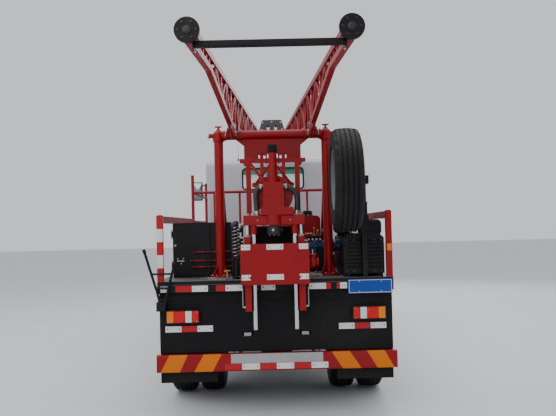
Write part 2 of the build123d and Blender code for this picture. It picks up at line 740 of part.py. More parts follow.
# Mirrors on tubular arms beside the windscreen
mirror_out = 1600
with BuildPart() as mirrors:
    for side_name, side in sides:
        with Locations((side * (mirror_out - 95), station(cab_front_ahead - 240), cab_roof - 455)):
            mirror_case = Box(190, 60, 370)
        fillet(mirror_case.edges(), 16)
        for arm_z in (cab_roof - 530, cab_roof - 340):
            strut((side * (cab_half + 6), cab_front_ahead - 300, arm_z), (side * (mirror_out - 110),
                  cab_front_ahead - 250, arm_z), 11)
            block((side * (cab_half + seat_gap), side * (cab_half + 10)), (cab_front_ahead - 325,
                  cab_front_ahead - 275), (arm_z - 30, arm_z + 30))
mirrors.part.label = "mirrors"
export_step(mirrors.part, "parts/mirrors.step")

# Engine block and gearbox between the rails, under the cab
with BuildPart() as engine_block:
    block((-300, 300), (5560, 6900), (640, 1100))
    block((-190, 190), (4900, 5400), (700, 940))
    block((-120, 120), (5400, 5560), (720, 930))
    for mount_ahead in (5700, 6750):
        block((-rail_x + seat_gap, rail_x - seat_gap), (mount_ahead - 45, mount_ahead + 45), (800, 860))
engine_block.part.label = "engine_block"
export_step(engine_block.part, "parts/engine_block.step")

# Fuel tank in two straps on the left rail, and the battery box on the right one
with BuildPart() as side_tanks:
    for tank_side, tank_back, tank_front, corner in ((-1, 2500, 3700, 120), (1, 2500, 3300, 30)):
        with BuildSketch(across(tank_back)):
            with Locations((tank_side * 800, 740)):
                RectangleRounded(560, 470, corner)
        extrude(amount=-(tank_front - tank_back))
        for strap_ahead in (tank_back + 180, tank_front - 180):
            block((tank_side * (rail_x + rail_wall + seat_gap), tank_side * 560), (strap_ahead - 30,
                  strap_ahead + 30), (560, 900))
side_tanks.part.label = "side_tanks"
export_step(side_tanks.part, "parts/side_tanks.step")

# Portal: two columns with domed heads, the crossbeam between them, its gusset and the forward stays
beam_bottom = hinge_height - beam_radius
frame_bar_bottom = hinge_height - 330
frame_bar_top = hinge_height - 290
ear_offset = 24
stay_foot_ahead = 1500
head_radius = column_radius + 11
with BuildPart() as portal:
    for side_name, side in sides:
        with BuildSketch(Plane(origin=(side * column_x, station(column_ahead), 0), x_dir=(1, 0, 0),
                               z_dir=(0, -1, 0))):
            with BuildLine():
                Polyline((0, deck_top), (column_flange, deck_top), (column_flange, deck_top + 24),
                         (column_radius, deck_top + 24), (column_radius, beam_bottom - 26),
                         (head_radius, beam_bottom - 12), (head_radius, hinge_height))
                CenterArc((0, hinge_height), head_radius, 0, 90)
                Line((0, hinge_height + head_radius), (0, deck_top))
            make_face()
        revolve(axis=Axis((side * column_x, station(column_ahead), 0), (0, 0, 1)), revolution_arc=360)
        rod_x((side * column_x, side * (beam_half + 30)), column_ahead, hinge_height, pin_radius)
        strut((side * column_x, column_ahead + 10, hinge_height - 190), (side * column_x, stay_foot_ahead,
              deck_top + 30), 30)
        block((side * (column_x - 60), side * (column_x + 60)), (stay_foot_ahead - 80, stay_foot_ahead + 80),
              (deck_top, deck_top + 24))
        # ears behind the beam, with the pin that the mast turns on
        for ear_side in (-1, 1):
            ear_x = side * leg_x + ear_side * (ear_offset + ear_thickness / 2)
            with BuildSketch(along(ear_x)):
                with Locations((station(hinge_ahead), hinge_height)):
                    Circle(ear_radius)
                with Locations((station((hinge_ahead + column_ahead) / 2), hinge_height - 10)):
                    Rectangle(column_ahead - hinge_ahead, 2 * ear_radius - 44)
            extrude(amount=ear_thickness / 2, both=True)
        rod_x((side * leg_x - ear_offset - 24, side * leg_x + ear_offset + 24), hinge_ahead, hinge_height,
              pin_radius)
    rod_x((-column_x, column_x), column_ahead, hinge_height, beam_radius)
    with BuildSketch(across(column_ahead)):
        with BuildLine():
            Polyline((-400, beam_bottom + 12), (-300, beam_bottom - 68), (-300, frame_bar_top - 10),
                     (300, frame_bar_top - 10), (300, beam_bottom - 68), (400, beam_bottom + 12), close=True)
        make_face()
        with Locations((-96, hinge_height - 230), (96, hinge_height - 230)):
            RectangleRounded(104, 46, 8, mode=Mode.SUBTRACT)
    extrude(amount=7, both=True)
    block((-330, 330), (post_ahead - 25, post_ahead + 25), (frame_bar_bottom, frame_bar_top))
    for arm_x in (-280, 280):
        block((arm_x - 20, arm_x + 20), (post_ahead, column_ahead + 12), (frame_bar_bottom, frame_bar_top))
portal.part.label = "portal"
export_step(portal.part, "parts/portal.step")


def mast_point(s, t):
    """Row place of a point given along and above the mast, as (ahead, z)."""
    return (hinge_ahead + s * cos(tilt) - t * sin(tilt), hinge_height + s * sin(tilt) + t * cos(tilt))


def mast_plane(x):
    """Plane at x whose own x runs forward along the mast and whose y stands up from it."""
    return Plane(origin=(x, station(hinge_ahead), hinge_height), x_dir=(0, cos(tilt), sin(tilt)),
                 z_dir=(1, 0, 0))


def leg_x_at(s):
    """Distance of a mast leg from the middle of the truck."""
    return leg_x - leg_splay * s


def lower_t(s):
    """Height of the lower chord above the mast's line through the hinge."""
    if s < 0:
        return lower_t_hinge + (shin_t - lower_t_hinge) * s / shin_s
    return lower_t_hinge + (lower_t_front - lower_t_hinge) * s / crown_s


# Mast legs: flat lattice trusses that lean together towards the crown
front_panels = 15
rear_panels = 4
for side_name, side in sides:
    ahead_dir = Vector(-side * leg_splay, cos(tilt), sin(tilt)).normalized()
    up_dir = Vector(0, -sin(tilt), cos(tilt))
    leg_plane = Plane(origin=(side * leg_x, station(hinge_ahead), hinge_height), x_dir=ahead_dir,
                      z_dir=ahead_dir.cross(up_dir))
    nodes_s = [shin_s + i * -shin_s / rear_panels for i in range(rear_panels)]
    nodes_s += [i * crown_s / front_panels for i in range(front_panels + 1)]
    with BuildPart() as mast_leg:
        with BuildSketch(leg_plane):
            bar((foot_s, upper_t), (crown_s, upper_t), chord)
            bar((0, lower_t_hinge), (crown_s, lower_t_front), chord, tail=8)
            bar((shin_s, shin_t), (0, lower_t_hinge), chord, tail=8)
            bar((foot_s, shin_t), (shin_s + 8, shin_t), chord)
        extrude(amount=chord / 2, both=True)
        with BuildSketch(leg_plane):
            for i in range(len(nodes_s) - 1):
                low, high = (nodes_s[i], lower_t(nodes_s[i])), (nodes_s[i], upper_t)
                bar(low, high, brace)
                if i % 2:
                    bar(high, (nodes_s[i + 1], lower_t(nodes_s[i + 1])), brace)
                else:
                    bar(low, (nodes_s[i + 1], upper_t), brace)
            bar((crown_s, lower_t_front - chord / 2), (crown_s, upper_t + chord / 2), brace + 10)
            for tie in range(1, 6):
                tie_s = shin_s + tie * (foot_s - shin_s) / 6
                bar((tie_s, shin_t), (tie_s, upper_t), brace)
        extrude(amount=brace / 2, both=True)
        with BuildSketch(leg_plane):
            with BuildLine():
                Polyline((-ear_radius + 8, 0), (-150, lower_t_hinge + 10), (150, lower_t_hinge + 10),
                         (ear_radius - 8, 0), close=True)
            make_face()
            Circle(ear_radius - 8)
        extrude(amount=14, both=True)
        rod_x((side * leg_x - 40, side * leg_x + 40), hinge_ahead, hinge_height, pin_radius + running_gap,
              Mode.SUBTRACT)
    mast_leg.part.label = f"mast_leg_{side_name}"
    export_step(mast_leg.part, f"parts/mast_leg_{side_name}.step")

# Foot pads: round plates on screws at the ends of the legs, joined by the foot crossbar
foot_x = leg_x_at(foot_s)
bar_end_x = leg_x_at(foot_s + 115) - chord / 2 - 0.5
pad_t = (shin_t + upper_t) / 2
with BuildPart() as mast_feet:
    for side_name, side in sides:
        with Locations(mast_plane(side * foot_x) * Location((pad_face_s - foot_thickness / 2, pad_t, 0),
                                                         (0, 90, 0))):
            Cylinder(foot_radius, foot_thickness)
    with BuildSketch(mast_plane(0)):
        with Locations((foot_s + 70, foot_bar_t)):
            RectangleRounded(60, 46, 8)
    extrude(amount=bar_end_x - 4, both=True)
    for side_name, side in sides:
        with BuildSketch(mast_plane(side * (bar_end_x - 5))):
            with Locations((foot_s + 70, foot_bar_t + 60)):
                Rectangle(90, 190)
        extrude(amount=5, both=True)
mast_feet.part.label = "mast_feet"
export_step(mast_feet.part, "parts/mast_feet.step")

# Crown block: a tapered housing over the mast's front end, with its two sheaves showing at the rear
crown_low = upper_t + chord / 2
with BuildPart() as crown_block:
    with BuildSketch(Plane(origin=mast_plane(0).from_local_coords((crown_s + 30, 0, 0)), x_dir=(1, 0, 0),
                           z_dir=(0, -cos(tilt), -sin(tilt)))):
        with BuildLine():
            FilletPolyline((-300, crown_low), (-180, crown_low + 400), (180, crown_low + 400),
                           (300, crown_low), radius=28, close=True)
        make_face()
    extrude(amount=130, both=True)
    for groove_x in (-70, 70):
        with BuildSketch(mast_plane(groove_x)):
            with Locations((crown_s + 30, crown_low + 170)):
                Rectangle(300, 250)
        extrude(amount=26, both=True, mode=Mode.SUBTRACT)
        with BuildSketch(mast_plane(groove_x)):
            with Locations((crown_s + 30, crown_low + 170)):
                Circle(150)
        extrude(amount=17, both=True)
    sheave_ahead, sheave_z = mast_point(crown_s + 30, crown_low + 170)
    rod_x((-110, 110), sheave_ahead, sheave_z, 28)
    with BuildSketch(mast_plane(0)):
        with Locations((crown_s + 30, crown_low + 12)):
            Rectangle(260, 24)
    extrude(amount=300, both=True)
crown_block.part.label = "crown_block"
export_step(crown_block.part, "parts/crown_block.step")

# Lift yoke: the cross tube between the legs with two cheeks that reach down to the lift cylinder's pin
cheek_x = lift_eye_half + lift_cheek_gap
yoke_t = 20
yoke_plate = 55
yoke_half = leg_x_at(lift_s + yoke_plate) - chord / 2 * hypot(1, leg_splay) - seat_gap
with BuildPart() as lift_yoke:
    with BuildSketch(mast_plane(0)):
        with Locations((lift_s, yoke_t)):
            RectangleRounded(64, 56, 8)
    extrude(amount=yoke_half, both=True)
    for side_name, side in sides:
        with BuildSketch(mast_plane(side * (yoke_half - 6))):
            with Locations((lift_s, (yoke_t + lower_t(lift_s)) / 2)):
                Rectangle(2 * yoke_plate, lower_t(lift_s) - yoke_t + 60)
        extrude(amount=6, both=True)
    for side_name, side in sides:
        with BuildSketch(mast_plane(side * (cheek_x + 8))):
            with BuildLine():
                Polyline((lift_s - 60, yoke_t + 20), (lift_s + 60, yoke_t + 20), (lift_s + 44, lift_t),
                         (lift_s - 44, lift_t), close=True)
            make_face()
            with Locations((lift_s, lift_t)):
                Circle(44)
        extrude(amount=8, both=True)
        pin_ahead, pin_z = mast_point(lift_s, lift_t)
        rod_x((side * (lift_eye_half + move_gap), side * (cheek_x + 22)), pin_ahead, pin_z, 22)
lift_yoke.part.label = "lift_yoke"
export_step(lift_yoke.part, "parts/lift_yoke.step")

# Lift cylinder: barrel on a pin between two deck ears, and a rod with its eye
eye_ahead, eye_z = mast_point(lift_s, lift_t)
lift_run = Vector(0, eye_ahead - lift_base_ahead, eye_z - lift_base_height)
lift_dir = lift_run.normalized()
lift_base = Vector(0, station(lift_base_ahead), lift_base_height)
lift_barrel_length = lift_run.length - 110


def lift_plane(distance):
    """Plane square to the lift cylinder, at a distance from its base pin."""
    return Plane(origin=lift_base + lift_dir * distance, x_dir=(1, 0, 0), z_dir=lift_dir)


with BuildPart() as lift_barrel:
    rod_x((-lift_eye_half, lift_eye_half), lift_base_ahead, lift_base_height, lift_eye_radius)
    with BuildSketch(lift_plane(0)):
        Circle(lift_eye_half - 1)
    extrude(amount=80)
    with BuildSketch(lift_plane(60)):
        Circle(lift_bore_radius)
    extrude(amount=lift_barrel_length - 60)
    with BuildSketch(lift_plane(lift_barrel_length - 50)):
        Circle(lift_bore_radius + 7)
    extrude(amount=50)
    with BuildSketch(lift_plane(110)):
        Circle(lift_rod_radius + running_gap)
    extrude(amount=lift_run.length, mode=Mode.SUBTRACT)
    rod_x((-lift_eye_half - 1, lift_eye_half + 1), lift_base_ahead, lift_base_height, 22 + running_gap,
          Mode.SUBTRACT)
lift_barrel.part.label = "lift_barrel"
export_step(lift_barrel.part, "parts/lift_barrel.step")

with BuildPart() as lift_rod:
    with BuildSketch(lift_plane(114)):
        Circle(lift_rod_radius)
    extrude(amount=lift_run.length - 114 - lift_eye_radius / 2)
    rod_x((-lift_eye_half, lift_eye_half), eye_ahead, eye_z, lift_eye_radius)
    rod_x((-lift_eye_half - 1, lift_eye_half + 1), eye_ahead, eye_z, 24, Mode.SUBTRACT)
lift_rod.part.label = "lift_rod"
export_step(lift_rod.part, "parts/lift_rod.step")

with BuildPart() as lift_foot:
    for side_name, side in sides:
        with BuildSketch(along(side * (lift_eye_half + 1 + 9))):
            with BuildLine():
                Polyline((station(lift_base_ahead - 130), deck_top),
                         (station(lift_base_ahead + 130), deck_top),
                         (station(lift_base_ahead + 50), lift_base_height),
                         (station(lift_base_ahead - 50), lift_base_height), close=True)
            make_face()
            with Locations((station(lift_base_ahead), lift_base_height)):
                Circle(50)
        extrude(amount=9, both=True)
    rod_x((-lift_eye_half - 30, lift_eye_half + 30), lift_base_ahead, lift_base_height, 22)
    block((-120, 120), (lift_base_ahead - 170, lift_base_ahead + 170), (deck_top, deck_top + 16))
lift_foot.part.label = "lift_foot"
export_step(lift_foot.part, "parts/lift_foot.step")

# Feed frame: two posts on the deck edge, the guide housings behind it and the feed cylinders' barrels
housing_rear = drill_ahead - 55
with BuildPart() as feed_frame:
    for side_name, side in sides:
        block((side * (post_x - 25), side * (post_x + 25)), (5, 5 + post_width), (deck_top + seat_gap,
              frame_bar_bottom - seat_gap))
        block((side * (guide_x - 40), side * (feed_x + 38)), (housing_rear, 5), (deck_top + seat_gap,
              cover_top - 20))
        block((side * (guide_x - 40), side * (feed_x + 38)), (housing_rear, -seat_gap), (cover_bottom + 8,
              deck_top + 10))
        block((side * (feed_x - feed_barrel / 2), side * (feed_x + feed_barrel / 2)),
              (drill_ahead - feed_barrel / 2, drill_ahead + feed_barrel / 2), (feed_bottom, feed_barrel_top))
        rod_z(side * feed_x, drill_ahead, (feed_bottom + 40, feed_barrel_top + 1),
              feed_rod_radius + running_gap, Mode.SUBTRACT)
        rod_z(side * guide_x, drill_ahead, (feed_bottom, cover_top), guide_radius + running_gap,
              Mode.SUBTRACT)
    block((-guide_x + 38, guide_x - 38), (-26, -6), (deck_top + 20, cover_top - 40))
feed_frame.part.label = "feed_frame"
export_step(feed_frame.part, "parts/feed_frame.step")

# Cover plate over the feed, a folded tray on four bosses
with BuildPart() as cover_plate:
    block((-cover_half, cover_half), (cover_ahead, cover_ahead + 8), (cover_bottom, cover_top))
    for side_name, side in sides:
        block((side * (cover_half - 6), side * cover_half), (cover_ahead, cover_ahead + 50), (cover_bottom,
              cover_top))
        for boss_z in (cover_bottom + 70, cover_top - 70):
            rod_y(side * 235, (cover_ahead + 8, housing_rear - seat_gap), boss_z, 15)
cover_plate.part.label = "cover_plate"
export_step(cover_plate.part, "parts/cover_plate.step")

# Crosshead: the sliding beam that carries the rotary head, with shoes round the posts
crosshead_top = crosshead_bottom + crosshead_height
shoe_gap = post_width / 2 + move_gap
with BuildPart() as crosshead:
    block((-crosshead_half, crosshead_half), (drill_ahead - 45, drill_ahead + 45), (crosshead_bottom,
          crosshead_top))
    fillet(crosshead.edges().filter_by(Axis.X), 10)
    for side_name, side in sides:
        for cheek in (-1, 1):
            cheek_x_middle = side * post_x + cheek * (shoe_gap + 8)
            block((cheek_x_middle - 8, cheek_x_middle + 8),
                  (drill_ahead + 40, 5 + post_width + move_gap + 14),
                  (crosshead_bottom + 6, crosshead_top - 6))
        block((side * post_x - shoe_gap - 16, side * post_x + shoe_gap + 16),
              (5 + post_width + move_gap, 5 + post_width + move_gap + 14), (crosshead_bottom + 6,
              crosshead_top - 6))
        rod_z(side * guide_x, drill_ahead, (crosshead_bottom - 88, crosshead_bottom + 1), guide_radius + 9)
        rod_z(side * guide_x, drill_ahead, (crosshead_bottom - 89, crosshead_bottom), guide_radius,
              Mode.SUBTRACT)
    rod_z(0, drill_ahead, (crosshead_bottom, crosshead_top), 84)
    rod_z(0, drill_ahead, (crosshead_bottom - 1, crosshead_top + 1), 48 + running_gap, Mode.SUBTRACT)
crosshead.part.label = "crosshead"
export_step(crosshead.part, "parts/crosshead.step")

# Feed and guide rods that hang from the crosshead
with BuildPart() as feed_rods:
    for side_name, side in sides:
        rod_z(side * feed_x, drill_ahead, (feed_barrel_top - feed_travel - 190, crosshead_bottom),
              feed_rod_radius)
        rod_z(side * guide_x, drill_ahead, (guide_bottom, crosshead_bottom), guide_radius)
feed_rods.part.label = "feed_rods"
export_step(feed_rods.part, "parts/feed_rods.step")

# Rotary head: flange, tapered housing, the round gear case ahead of it and the swivel tube on top
head_top = crosshead_top + head_height
head_half = 98
hose_radius = 26
with BuildPart() as rotary_head:
    with BuildSketch(across(drill_ahead - 70)):
        with BuildLine():
            Polyline((-130, crosshead_top), (-130, crosshead_top + 70), (-104, crosshead_top + 76),
                     (-head_half, head_top), (head_half, head_top), (104, crosshead_top + 76),
                     (195, crosshead_top + 70),
                     (195, crosshead_top), close=True)
        make_face()
    extrude(amount=-120)
    rod_y(0, (drill_ahead + 50, drill_ahead + 118), crosshead_top + 200, 196)
    rod_z(0, drill_ahead, (head_top - 2, head_top + 40), swivel_radius + 18)
    rod_z(0, drill_ahead, (head_top, swivel_top), swivel_radius)
    strut((-70, drill_ahead - 50, head_top - 20), (-250, drill_ahead - 50, head_top + 230), 14)
    strut((-225, drill_ahead - 50, head_top + 195), (-262, drill_ahead - 50, head_top + 247), 22)
rotary_head.part.label = "rotary_head"
export_step(rotary_head.part, "parts/rotary_head.step")

# Hoses that loop from the sides of the rotary head down to the crosshead
with BuildPart() as head_hoses:
    for side, hose_foot in ((-1, 165), (1, 226)):
        start = (side * (head_half + 2.2), station(drill_ahead), head_top - 42)
        with BuildLine():
            Spline(start, (side * (hose_foot + 8), station(drill_ahead), crosshead_top + 150),
                   (side * hose_foot, station(drill_ahead), crosshead_top + seat_gap),
                   tangents=((side, 0, 0), (0, 0, -1)))
        with BuildSketch(Plane(origin=start, x_dir=(0, 1, 0), z_dir=(side, 0, 0))):
            Circle(hose_radius)
        sweep()
head_hoses.part.label = "head_hoses"
export_step(head_hoses.part, "parts/head_hoses.step")

# Spindle: the turning sleeve with its chuck, bored for the drill rod
spindle_bottom = crosshead_bottom - 96
with BuildPart() as spindle:
    rod_z(0, drill_ahead, (crosshead_bottom - 12, crosshead_top - 2), 48)
    rod_z(0, drill_ahead, (spindle_bottom, crosshead_bottom - 10), 74)
    chamfer(spindle.edges().filter_by(GeomType.CIRCLE).group_by(Axis.Z)[0], 8)
    rod_z(0, drill_ahead, (spindle_bottom - 1, spindle_bottom + spindle_bore_length), spindle_bore_radius,
          Mode.SUBTRACT)
spindle.part.label = "spindle"
export_step(spindle.part, "parts/spindle.step")

# Control cabinet at the left rear, hollow, with one door in its rear face
cabinet_x = (-1090, -460)
cabinet_ahead = (545, 950)
cabinet_top = 1905
cabinet_door_x = (cabinet_x[0] + 4, -694)
cabinet_wall = 16
cabinet_door_thickness = 20
leaf_hinge_x = cabinet_x[0] - 8
leaf_hinge_ahead = cabinet_ahead[0] - 2 - cabinet_door_thickness / 2
leaf_hinges_z = (deck_top + 130, cabinet_top - 120)
leaf_knuckle = 8
leaf_pin = 4
with BuildPart() as cabinet:
    block(cabinet_x, cabinet_ahead, (deck_top, cabinet_top))
    fillet(cabinet.edges().filter_by(Axis.Y).group_by(Axis.Z)[-1], 18)
    block((cabinet_x[0] + cabinet_wall, cabinet_x[1] - cabinet_wall), (cabinet_ahead[0] + cabinet_wall,
          cabinet_ahead[1] - cabinet_wall), (deck_top + cabinet_wall, cabinet_top - 22), Mode.SUBTRACT)
    block((cabinet_door_x[0] + 30, cabinet_door_x[1] - 30), (cabinet_ahead[0] - 1, cabinet_ahead[0]
          + cabinet_wall + 1), (deck_top + 45, cabinet_top - 52), Mode.SUBTRACT)
    for leaf_hinge_z in leaf_hinges_z:
        rod_z(leaf_hinge_x, leaf_hinge_ahead, (leaf_hinge_z - 46, leaf_hinge_z + 46), leaf_pin)
        for lug_z in (leaf_hinge_z - 41, leaf_hinge_z + 41):
            block((leaf_hinge_x - 7, leaf_hinge_x + 6), (leaf_hinge_ahead - 7, cabinet_ahead[0] + 4),
                  (lug_z - 5, lug_z + 5))
            block((leaf_hinge_x - 7, cabinet_x[0] + 2), (cabinet_ahead[0] + 2, cabinet_ahead[0] + 24),
                  (lug_z - 5, lug_z + 5))
cabinet.part.label = "cabinet"
export_step(cabinet.part, "parts/cabinet.step")

with BuildPart() as cabinet_door:
    door_rear = cabinet_ahead[0] - 2 - cabinet_door_thickness
    block(cabinet_door_x, (door_rear, cabinet_ahead[0] - 2), (deck_top + 28, cabinet_top - 20))
    fillet(cabinet_door.edges().filter_by(Axis.Y), 10)
    for panel_z in ((deck_top + 80, deck_top + 290), (deck_top + 320, cabinet_top - 72)):
        block((cabinet_door_x[0] + 45, cabinet_door_x[1] - 45), (door_rear - 4, door_rear), panel_z)
    for leaf_hinge_z in leaf_hinges_z:
        rod_z(leaf_hinge_x, leaf_hinge_ahead, (leaf_hinge_z - 30, leaf_hinge_z + 30), leaf_knuckle)
        block((leaf_hinge_x, cabinet_door_x[0] + 6), (leaf_hinge_ahead - 4, leaf_hinge_ahead + 4),
              (leaf_hinge_z - 30, leaf_hinge_z + 30))
        rod_z(leaf_hinge_x, leaf_hinge_ahead, (leaf_hinge_z - 31, leaf_hinge_z + 31), leaf_pin
              + running_gap, Mode.SUBTRACT)
cabinet_door.part.label = "cabinet_door"
export_step(cabinet_door.part, "parts/cabinet_door.step")

# Deck engine at the right rear, with louvres, exhaust and the carrier of the spare wheel
engine_x = (700, 1108)
engine_ahead = (90, 1200)
engine_top = 1760
carrier_x = (880, 930)
carrier_ahead = (20, 80)
spare_x = 712
spare_ahead = -170
spare_height = 2283
with BuildPart() as deck_engine:
    with BuildSketch(across(engine_ahead[0])):
        with BuildLine():
            Polyline((engine_x[0], deck_top + 30), (engine_x[0], engine_top - 50),
                     (engine_x[0] + 50, engine_top), (engine_x[1] - 50, engine_top),
                     (engine_x[1], engine_top - 50), (engine_x[1], deck_top + 30), close=True)
        make_face()
    extrude(amount=-(engine_ahead[1] - engine_ahead[0]))
    with BuildSketch(across(engine_ahead[0] + 20)):
        with Locations((engine_x[1] - 112, engine_top + 55)):
            RectangleRounded(185, 160, 45)
    extrude(amount=-430)
    for slat in range(8):
        slat_z = deck_top + 90 + slat * 38
        block((engine_x[0] + 40, engine_x[1] - 40), (engine_ahead[0] - 1, engine_ahead[0] + 24),
              (slat_z, slat_z + 18), Mode.SUBTRACT)
    for skid_x in (engine_x[0] + 40, engine_x[1] - 40):
        block((skid_x - 25, skid_x + 25), (engine_ahead[0] + 20, engine_ahead[1] - 20), (deck_top,
              deck_top + 40))
    rod_z(engine_x[1] - 70, engine_ahead[1] - 120, (engine_top - 10, engine_top + 330), 38)
    # carrier of the spare wheel: a post with an arm back to the wheel's hub, and a brace to the engine frame
    block(carrier_x, carrier_ahead, (deck_top, spare_height + 50))
    block(carrier_x, (spare_ahead - 50, carrier_ahead[1]), (spare_height - 40, spare_height + 40))
    rod_x((spare_x - 45, carrier_x[0] + 10), spare_ahead, spare_height, stub_radius - seat_gap)
    rod_x((spare_x - 62, spare_x - 30 - seat_gap), spare_ahead, spare_height, stub_radius + 24)
    rod_x((spare_x + 40 + seat_gap, carrier_x[0] + 2), spare_ahead, spare_height, stub_radius + 20)
    strut((sum(carrier_x) / 2, carrier_ahead[1] - 10, spare_height - 60), (sum(carrier_x) / 2,
          carrier_ahead[1] + 400, engine_top - 10), 18)
deck_engine.part.label = "deck_engine"
export_step(deck_engine.part, "parts/deck_engine.step")

# Spare wheel, hung upright from the carrier's arm with its axis across the truck
with BuildPart() as spare_tyre:
    with BuildSketch(wheel_plane(spare_ahead, spare_height)):
        with BuildLine():
            Polyline(*tyre_section(spare_x, bead_radius), close=True)
        make_face()
    spun(spare_ahead, spare_height)
spare_tyre.part.label = "spare_tyre"
export_step(spare_tyre.part, "parts/spare_tyre.step")

with BuildPart() as spare_rim:
    with BuildSketch(wheel_plane(spare_ahead, spare_height)):
        rim_parts(spare_x, stub_radius, (spare_x - 30, spare_x + 40), spare_x - 10, spare_x + 20)
    spun(spare_ahead, spare_height)
spare_rim.part.label = "spare_rim"
export_step(spare_rim.part, "parts/spare_rim.step")

# Hydraulic pump on the engine's side, lying across the deck on its pedestal, with the valve block on top
pump_z = 1625
pump_ahead = 620
pump_end = engine_x[0] - seat_gap
pump_run = ((340, 40), (352, 62), (420, 62), (420, 76), (438, 76), (438, 58), (pump_end - 80, 58),
            (pump_end - 80, 72), (pump_end - 60, 72), (pump_end - 60, 48), (pump_end, 48))
with BuildPart() as hydraulic_pump:
    with BuildSketch(wheel_plane(pump_ahead, pump_z)):
        with BuildLine():
            Polyline((340, 0), *pump_run, (pump_end, 0), close=True)
        make_face()
    spun(pump_ahead, pump_z)
    block((460, 560), (pump_ahead - 45, pump_ahead + 45), (deck_top, pump_z - 30))
    block((430, 590), (pump_ahead - 80, pump_ahead + 80), (deck_top, deck_top + 20))
    block((350, 515), (pump_ahead - 40, pump_ahead + 40), (pump_z + 40, pump_z + 112))
hydraulic_pump.part.label = "hydraulic_pump"
export_step(hydraulic_pump.part, "parts/hydraulic_pump.step")

# Striped corner posts at the deck's rear corners
corner_post_top = 1978
corner_post_ahead = 34
corner_post_width = 62
rail_line_x = 1147
with BuildPart() as corner_posts:
    for side_name, side in sides:
        with BuildSketch(Plane.XY.offset(deck_top)):
            with Locations((side * rail_line_x, station(corner_post_ahead))):
                RectangleRounded(corner_post_width, corner_post_width, 8)
        extrude(amount=corner_post_top - deck_top)
corner_posts.part.label = "corner_posts"
export_step(corner_posts.part, "parts/corner_posts.step")

# Guard boards along both sides of the deck, on low posts
low_rail_height = 75
low_rail_z = corner_post_top - low_rail_height / 2
high_rail_z = 2350
high_post_top = 2600
high_rail_ahead = 3100
rest_gap = 420
rest_ahead = cab_rear_ahead - rest_gap
rest_s = rest_ahead - hinge_ahead
rest_x = leg_x_at(rest_s)
rest_top = mast_point(rest_s, lower_t(rest_s) - chord / 2)[1] - 1.6
high_front_ahead = rest_ahead - 40
with BuildPart() as guard_rails:
    for side_name, side in sides:
        block((side * (rail_line_x - 12), side * (rail_line_x + 12)), (corner_post_ahead
              + corner_post_width / 2 + seat_gap, high_rail_ahead - 22 - seat_gap),
              (low_rail_z - low_rail_height / 2, low_rail_z + low_rail_height / 2))
        for low_post in (1250, 2200, high_rail_ahead - 120):
            rod_z(side * rail_line_x, low_post, (deck_top, low_rail_z), 16)
guard_rails.part.label = "guard_rails"
export_step(guard_rails.part, "parts/guard_rails.step")

# Mast rest: two columns on the deck that the stowed mast lies on, with the high rails round the deck's front
with BuildPart() as mast_rest:
    for side_name, side in sides:
        for high_post in (high_rail_ahead, high_front_ahead):
            rod_z(side * rail_line_x, high_post, (deck_top, high_post_top), 22)
        rod_y(side * rail_line_x, (high_rail_ahead, high_front_ahead), high_rail_z, 18)
        rod_y(side * rail_line_x, (high_rail_ahead, high_front_ahead), low_rail_z, 18)
        block((side * (rest_x - 30), side * (rest_x + 30)), (rest_ahead - 30, rest_ahead + 30), (deck_top,
              rest_top - 40))
        block((side * (rest_x - 55), side * (rest_x + 55)), (rest_ahead - 20, rest_ahead + 20),
              (rest_top - 40, rest_top))
        strut((side * rest_x, rest_ahead - 10, rest_top - 610),
              (side * rest_x, rest_ahead - 620, deck_top + 20), 24)
    rod_x((-rail_line_x, rail_line_x), high_rail_ahead, high_rail_z, 20)
    rod_x((-rest_x, rest_x), rest_ahead, rest_top - 260, 22)
    for cage_x in (-840, -480, 480):
        rod_z(cage_x, high_rail_ahead, (deck_top, high_rail_z), 16)
mast_rest.part.label = "mast_rest"
export_step(mast_rest.part, "parts/mast_rest.step")

# Boarding ladder, folded up against the left rear corner
ladder_x = -1140
ladder_ahead = -34
with BuildPart() as boarding_ladder:
    strut((ladder_x, ladder_ahead, 1060), (ladder_x - 45, ladder_ahead, 1260), 13)
    strut((ladder_x - 45, ladder_ahead, 1250), (ladder_x - 160, ladder_ahead, 1640), 13)
    strut((ladder_x + 30, ladder_ahead, 1060), (ladder_x + 140, ladder_ahead, 1500), 13)
    for rung_z, rung_left, rung_right in ((1140, 20, 48), (1260, 45, 78), (1400, 86, 112)):
        rod_x((ladder_x - rung_left, ladder_x + rung_right), ladder_ahead, rung_z, 10)
    block((ladder_x - 45, ladder_x + 45), (ladder_ahead - 12, panel_ahead - 12 - seat_gap), (1030, 1120))
boarding_ladder.part.label = "boarding_ladder"
export_step(boarding_ladder.part, "parts/boarding_ladder.step")

# Hydraulic tank in the middle of the deck, ahead of the portal
tank_ahead = 1050
tank_length = 590
tank_x = (60, 530)
tank_bottom = deck_top + 30
tank_top = 1960
with BuildPart() as hydraulic_tank:
    with BuildSketch(across(tank_ahead)):
        with Locations(((tank_x[0] + tank_x[1]) / 2, (tank_bottom + tank_top) / 2)):
            RectangleRounded(tank_x[1] - tank_x[0], tank_top - tank_bottom, 50)
    extrude(amount=-tank_length)
    for foot_ahead in (tank_ahead + 100, tank_ahead + tank_length - 100):
        block((tank_x[0] + 50, tank_x[1] - 50), (foot_ahead - 25, foot_ahead + 25), (deck_top,
              tank_bottom + 10))
    rod_z(tank_x[0] + 120, tank_ahead + 140, (tank_top - 10, tank_top + 45), 42)
hydraulic_tank.part.label = "hydraulic_tank"
export_step(hydraulic_tank.part, "parts/hydraulic_tank.step")

